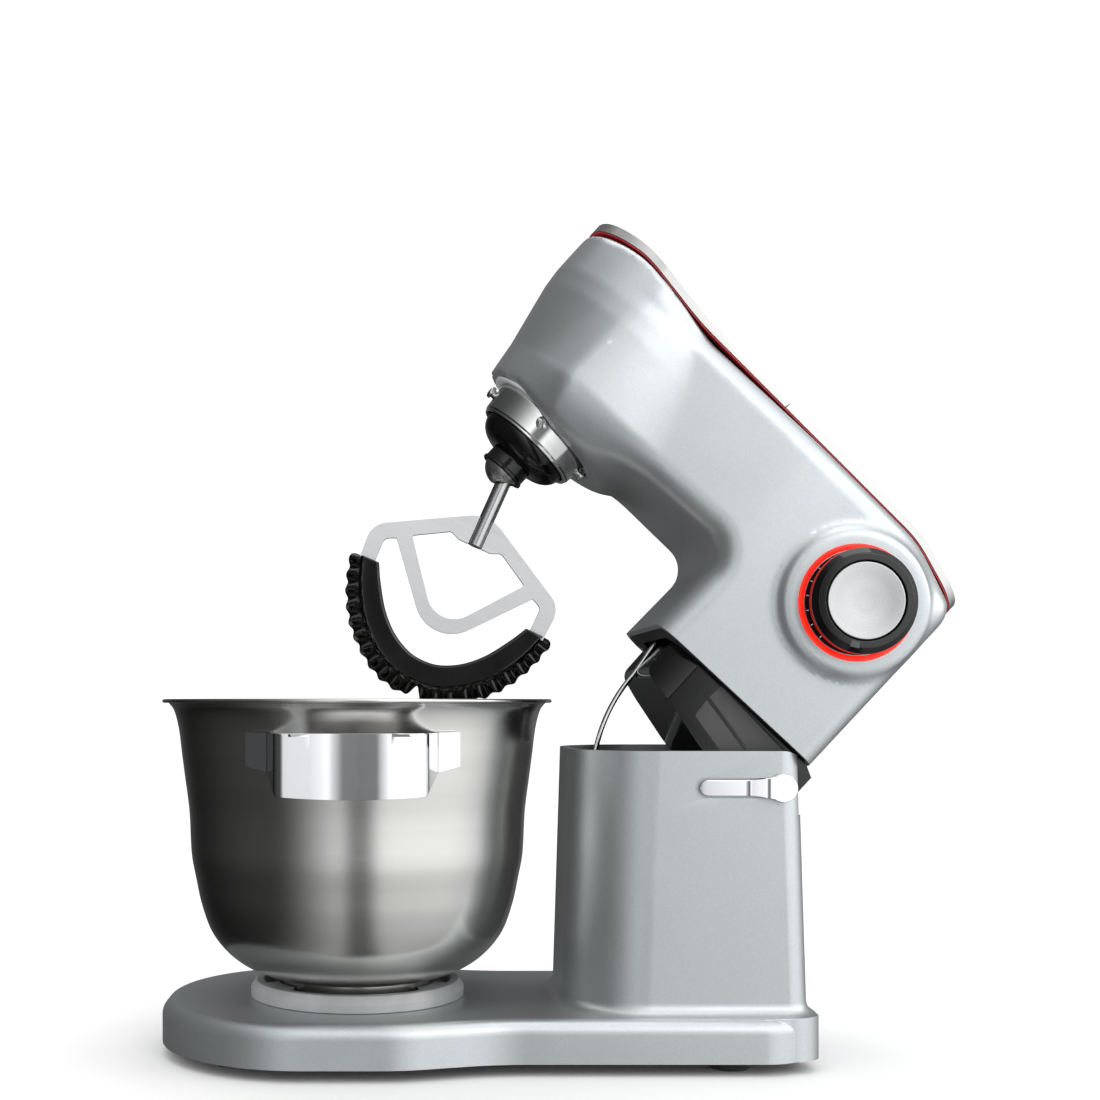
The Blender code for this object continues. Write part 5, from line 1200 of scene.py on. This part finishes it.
carve(base, pushed("column_side", side, -0.2, 0.2, None, None, "Y"), operation="INTERSECT")
levels = [(foot_plan(0), SHELL_LOW)]
for angle in range(0, 91, 10):
    turn = math.radians(angle)
    levels.append((foot_plan(0.008 * (1 - math.cos(turn))), DECK_Z - 0.008 + 0.008 * math.sin(turn)))
carve(base, stacked("foot", levels, PAINT), operation="UNION")

# %% What is cut from the base
well = pushed("well", column_plan(-CHEEK), 0.0, 0.3, None, None)
under = pushed("under", foot_plan(0.003), 0.0, DECK_Z - 0.003, None, None)
notch = rounded(box_corners(0.2214, -0.061, 0.27, 0.061))
notch = pushed("notch", notch, NOTCH_Z, 0.3, None, None)
hinge_line = facing_near(Matrix.Identity(4), PIVOT.x, PIVOT.z, 0)
pin_hole = spun_piece("pin_hole", rod_profile(0.0075, 0.05, 0.07), None, hinge_line, 48)
slot = arc(-0.0472 + 0.00545, 0, 0.00545, 90, 270, 20) + arc(0, 0, 0.0082, -42, 42, 20)
slot = [(PIVOT.x + x, PIVOT.z + z) for x, z in slot]
slot = pushed("slot", slot, -0.08, -HALF + 0.0016, None, None, "Y")
cord_hole = Matrix.Translation((0.243, 0.030, 0.060)) @ Matrix.Rotation(math.pi / 2, 4, "Y")
inlet = rod_profile(0.0075, -0.02, 0.02)
carve(base, well, under, notch, pin_hole, slot, spun_piece("inlet", inlet, None, cord_hole, 48))
softened(base, 0.0007, 3, 40)
base.data.transform(BASE)
belongs(base, "base", "silver_paint", "base_shell")

# %% Feet and screws under the base
foot_tree = round_repeat("rubber_feet", RUBBER)
pad = [(0, 0, 0), (0.0105, 0, 0.0006), (0.0120, 0.0020, 0.0010), (0.0110, 0.0067, 0), (0, 0.0067, 0)]


def four_at(name, tree, spots, seed, body, slot_name, *nodes):
    """One seed shape set at four spots that lie on two circles, and joined into one piece."""
    made = []
    for x, y in spots:
        copy = seed.copy()
        copy.data = seed.data.copy()
        bpy.context.scene.collection.objects.link(copy)
        sizes = {"Count": 2, "Radius": y, "Height": 0.0, "First Angle": 90.0, "Step": 180.0}
        made.append(grown(name, tree, sizes, copy, BASE @ Matrix.Translation((x, 0, 0))))
    bpy.data.objects.remove(seed)
    first = made[0]
    work = bmesh.new()
    for part in made:
        work.from_mesh(part.data)
    work.to_mesh(first.data)
    work.free()
    bpy.data.objects.remove(made[1])
    first.name = name
    return belongs(first, body, slot_name, *nodes)


feet_nodes = [f"foot_{end}_{side}" for end in ("front", "rear") for side in ("near", "far")]
pad = spun_piece("pad", pad, RUBBER, None, 64)
four_at("rubber_pads", foot_tree, ((-0.067, 0.047), (0.205, 0.0555)), pad, "base", "rubber", *feet_nodes)
screw_tree = round_repeat("plate_screws", INNER_STEEL)
head = [
    (0, 0.0051, 0), (0.0024, 0.0051, 0.0006), (0.0034, 0.0061, 0.0004), (0.0034, 0.0067, 0),
    (0, 0.0067, 0)
]
screw = spun_piece("screw", head, INNER_STEEL, None, 32)
screw_slots = []
for a, b in ((0.0017, 0.0003), (0.0003, 0.0017)):
    screw_slots.append(pushed("cross", rounded(box_corners(-a, -b, a, b)), 0.004, 0.0058, None, None))
carve(screw, *screw_slots)
screw_nodes = [f"base_screw_{number}" for number in range(1, 5)]
screw_spots = ((-0.022, 0.033), (0.160, 0.033))
four_at("plate_screws", screw_tree, screw_spots, screw, "base", "machined_steel", *screw_nodes)

# %% The cord gland
gland = [(0.0042, -0.008, 0), (0.0072, -0.008, 0), (0.0072, 0.0001, 0), (0.0105, 0.0001, 0.0004)]
gland += [(0.0100, 0.0016, 0.0008), (0.0062, 0.0064, 0.0010), (0.0042, 0.0065, 0.0004)]
belongs(spun_piece("gland", gland, RUBBER, BASE @ cord_hole, 64), "base", "rubber", "cord_gland")

# %% [markdown]
# ## The lever
#
# The release lever lies in its recess: a flat polished bar with a round free end, which ramps up to a
# round hub over the hinge. Its width and thickness both change along it, so it is lofted from rounded
# sections set close together where the outline turns fast.

# %% The release lever
LEVER_HALF, LEVER_END, LEVER_HUB = 0.00435, 0.0443, 0.0077
stations = [-LEVER_END + LEVER_HALF * (1 - math.cos(a)) for a in np.radians(range(3, 91, 8))]
stations += list(np.linspace(-LEVER_END + LEVER_HALF, -0.0180, 12)[1:])
stations += list(np.linspace(-0.0170, LEVER_HUB * math.cos(math.radians(50)), 22))
stations += [LEVER_HUB * math.cos(a) for a in np.radians(range(46, 2, -6))]
points = []
for x in stations:
    hub = math.sqrt(max(LEVER_HUB**2 - x**2, 0)) if abs(x) < LEVER_HUB else 0
    free = math.sqrt(max(LEVER_HALF**2 - max(-LEVER_END + LEVER_HALF - x, 0) ** 2, 1e-9))
    flare = LEVER_HALF + (0.0063 - LEVER_HALF) * np.clip((x + 0.0165) / 0.0120, 0, 1) ** 1.4
    tall = hub if x > -0.0045 else max(free if x < -0.030 else flare, hub)
    tall = max(tall, 0.0006)
    thick = 0.0012 + 0.0024 * float(np.clip((x + 0.0175) / 0.0095, 0, 1)) ** 0.9
    edge = min(0.0005, tall * 0.5)
    ring = rounded([(-tall, 0, 0), (tall, 0, 0), (tall, thick, edge), (-tall, thick, edge)], 22.5)
    points += [(PIVOT.x + x, -HALF - 0.0004 - out, PIVOT.z + z) for z, out in ring]
around = len(points) // len(stations)
lever = solid("lever_bar", points, loft_faces(len(stations), around), CHROME, BASE, 38)
belongs(lever, "release_lever", "chrome", "release_lever")
print("lever stations:", len(stations))

# %% [markdown]
# ## The shroud and the arc rod
#
# Under the head a gloss black shroud hides the hinge, and swings down into the base's well as the head
# closes. Its side outline is pushed out across the machine, and trimmed to the well's rounded front. Two
# satin panels are sunk in each side. A thin chromed rod bends in an arc about the hinge from the shroud's
# front into the well.

# %% The shroud
SHROUD_HALF, WELL_CLEAR, PANEL_DEPTH, PIN_WAY = 0.0565, 0.0079, 0.0004, 0.0054


def shroud_plan(shrink):
    inset = WELL_CLEAR + shrink
    return nosed_plan(COLUMN_FRONT + inset, 0.27, HALF - inset, COLUMN_NOSE - inset, 0, 4.0)


def shroud_body(name, shrink, half, skin, top):
    low = 0.1520 + shrink
    corners = [(0.1360 + shrink, top, 0), (0.1368 + shrink, low, 0.006), (0.1890, 0.1395 + shrink, 0.06)]
    corners += [(0.2415 - shrink, 0.1405 + shrink, 0.0105), (0.2415 - shrink, SEAM - 0.004, 0)]
    corners += [(0.2355 - shrink, SEAM - 0.001, 0), (0.2355 - shrink, top, 0)]
    body = pushed(name, rounded(corners, 4.0), -half, half, skin, None, "Y")
    plan = pushed("plan", shroud_plan(shrink), 0.1, 0.3, None, None)
    return carve(body, plan, operation="INTERSECT")


shroud = shroud_body("black_shroud", 0, SHROUD_HALF, GLOSS_BLACK, SEAM + 0.003)
softened(shroud, 0.0022, 4, 40)
carve(shroud, shroud_body("hollow", 0.0025, SHROUD_HALF - 0.003, None, SEAM + 0.02))
rod_slot = rounded(box_corners(0.12, -0.0026, 0.1402, 0.0026))
carve(shroud, pushed("rod_slot", rod_slot, 0.1, 0.3, None, None))
upper = [
    (0.1712, 0.1728, 0.0008), (0.1704, 0.1640, 0.0008), (0.2080, 0.1572, 0.001), (0.2240, 0.1580, 0.001),
    (0.2240, 0.1700, 0.001)
]
lower = [
    (0.1704, 0.1620, 0.0008), (0.1716, 0.1512, 0.001), (0.1960, 0.1462, 0.001), (0.2240, 0.1450, 0.001),
    (0.2240, 0.1548, 0.001), (0.2080, 0.1553, 0.001)
]
for corners in (upper, lower):
    for near, far in ((-0.06, -SHROUD_HALF + PANEL_DEPTH), (SHROUD_HALF - PANEL_DEPTH, 0.06)):
        carve(shroud, pushed("panel", rounded(corners), near, far, None, None, "Y"))
carve(shroud, spun_piece("pin_way", rod_profile(PIN_WAY, -0.1, 0.1), None, hinge_line, 48))
shroud.data.materials.append(SATIN_BLACK)
for face in shroud.data.polygons:
    if abs(abs(face.center.y) - SHROUD_HALF + PANEL_DEPTH) < 1e-5 and abs(face.normal.y) > 0.99:
        face.material_index = 1
shroud.data.transform(HEAD)
belongs(shroud, "head", "black_gloss", "head_shroud")

# %% The arc rod
ROD_ARC = 0.0940
route = [
    (PIVOT.x + ROD_ARC * math.cos(a), 0, PIVOT.z + ROD_ARC * math.sin(a))
    for a in np.radians(np.linspace(221, 182, 40))
]
rise = eased([(0.1374, 0.1510), (0.1362, 0.1600), (0.1350, 0.1680), (0.1346, 0.1790)], 14)
route += [(x, 0, z) for x, z in rise[1:]]
belongs(swept_tube("chrome_rod", route, 0.0015, CHROME, HEAD), "head", "chrome", "arc_rod")

# %% [markdown]
# ## Inside and underneath
#
# The well's liner, the chin under the neck, the hinge pins, the motor and the belt are plain shapes that
# are mostly hidden, and the frame's own solids are right for them. They only need real finishes.

# %% Finishes for the frame's own solids
inside = {
    MATT_BLACK: ("well_liner", "base_plate", "chin_plate"),
    INNER_STEEL: (
        "hinge_pin_near", "hinge_pin_far", "hinge_yoke", "lift_spring", "lever_shaft", "latch_cam"
    ),
    CUP_METAL: (
        "gearbox_plate", "carrier_pulley", "motor_pulley", "motor_can", "motor_shaft", "carrier_bearing"
    ),
    TOOL_STEEL: ("carrier_shaft", "knob_shaft", "ring_gear"),
    BRASS: ("hinge_bush_near", "hinge_bush_far", "planet_pinion"),
    RUBBER: ("drive_belt",),
    BOARD_GREEN: ("control_board",),
}
for skin, names in inside.items():
    for name in names:
        data = frame["nodes"][name].data
        data.materials.clear()
        data.materials.append(skin)
print("frame solids finished:", sum(len(names) for names in inside.values()))

# %% [markdown]
# ## Floor, light and camera
#
# Polished metal shows what is round it, so the light is drawn first as a room. What mirrors see is bright
# in front, above and to the right, and dark behind, below and to the left, with a dark gap straight
# ahead. That gives the satin paint its soft turn into shade and the metal its bands. All else sees an even
# white. Three large soft lamps shape the near side. The floor is a pale disc that mirrors don't show.

# %% Floor
FLOOR_RADIUS, FLOOR_SIDES, FLOOR_LEVEL = 6.0, 96, -0.0002
turns = [2 * math.pi * step / FLOOR_SIDES for step in range(FLOOR_SIDES)]
floor_points = [(0, 0, FLOOR_LEVEL)]
floor_points += [(FLOOR_RADIUS * math.cos(a), FLOOR_RADIUS * math.sin(a), FLOOR_LEVEL) for a in turns]
floor_faces = [(0, 1 + step, 1 + (step + 1) % FLOOR_SIDES) for step in range(FLOOR_SIDES)]
FLOOR, tree, shader, place = finish("pale_floor", (0.93, 0.93, 0.93), 0.6, Specular_IOR_Level=0.0)
masks = group_of(tree, smears, Vector=place, Scale=3.0)
vary_colour(tree, shader, masks["Smear"], 0.99, 1.0)
floor = solid("floor", floor_points, floor_faces, FLOOR)
floor.visible_glossy = False

# %% Sky
world = bpy.data.worlds.new("studio")
bpy.context.scene.world = world
world.use_nodes = True
sky = world.node_tree
sky.nodes.clear()
way = wire(sky, "ShaderNodeTexCoord").outputs["Generated"]
way = wire(sky, "ShaderNodeSeparateXYZ", {0: way})
# Each side is an axis, where along it the room is darkest and brightest, and how bright it is there.
SIDES = ((0, -0.80, 0.12, 0.04, 1.0), (1, 0.75, -0.45, 0.10, 1.0), (2, -0.80, 0.15, 0.36, 1.0))
GAP_MIDDLE, GAP_HALF, GAP_END, GAP_DARK, GAP_BRIGHT = 0.05, 0.07, 0.24, 0.25, 1.75
OVER_LOW, OVER_HIGH, OVER_BRIGHT = 0.15, 0.65, 1.5
ramps = [ramp(sky, way.outputs[axis], *sizes) for axis, *sizes in SIDES]
level = maths(sky, "MULTIPLY", maths(sky, "MULTIPLY", ramps[0], ramps[1]), ramps[2])
aside = maths(sky, "ABSOLUTE", maths(sky, "SUBTRACT", way.outputs[0], GAP_MIDDLE))
gap = ramp(sky, aside, GAP_HALF, GAP_END, GAP_DARK, GAP_BRIGHT)
above = ramp(sky, way.outputs[2], OVER_LOW, OVER_HIGH, 0.0, OVER_BRIGHT)
level = maths(sky, "MULTIPLY", level, maths(sky, "MAXIMUM", gap, above))
room = wire(sky, "ShaderNodeBackground", {"Color": (0.97, 0.985, 1.0, 1), "Strength": level})
plain = wire(sky, "ShaderNodeBackground", {"Color": (1, 1, 1, 1), "Strength": 1.12})
mirrored = wire(sky, "ShaderNodeLightPath").outputs["Is Glossy Ray"]
both = wire(sky, "ShaderNodeMixShader", {0: mirrored, 1: plain.outputs[0], 2: room.outputs[0]})
wire(sky, "ShaderNodeOutputWorld", {0: both.outputs[0]})


# %% Soft lamps
def soft_lamp(name, place, aim, size, watts, colour=(1, 1, 1)):
    data = bpy.data.lights.new(name, "AREA")
    data.shape = "RECTANGLE"
    data.size, data.size_y = size
    data.energy = watts
    data.color = colour
    lamp = bpy.data.objects.new(name, data)
    lamp.location = place
    lamp.rotation_euler = (Vector(aim) - Vector(place)).to_track_quat("-Z", "Y").to_euler()
    bpy.context.scene.collection.objects.link(lamp)
    return lamp


soft_lamp("front_soft", (0.70, -1.50, 1.10), (0.0, 0.0, 0.22), (0.6, 0.9), 3.0)
soft_lamp("right_soft", (1.50, -0.40, 0.80), (0.0, 0.0, 0.20), (0.5, 0.9), 3.0)
soft_lamp("top_soft", (0.10, 0.10, 1.70), (0.0, 0.0, 0.10), (1.2, 0.8), 5.0)

# %% Camera
camera = bpy.data.cameras.new("camera")
camera.lens = 49.09
camera.sensor_width = 36
camera.shift_x, camera.shift_y = 0.136, 0.138
eye = bpy.data.objects.new("camera", camera)
eye.location = BASE @ Vector((0.0250, -0.8775, 0.2000))
eye.rotation_euler = (math.pi / 2, 0, 0)
bpy.context.scene.collection.objects.link(eye)
bpy.context.scene.camera = eye
bpy.context.scene.view_settings.view_transform = "Standard"
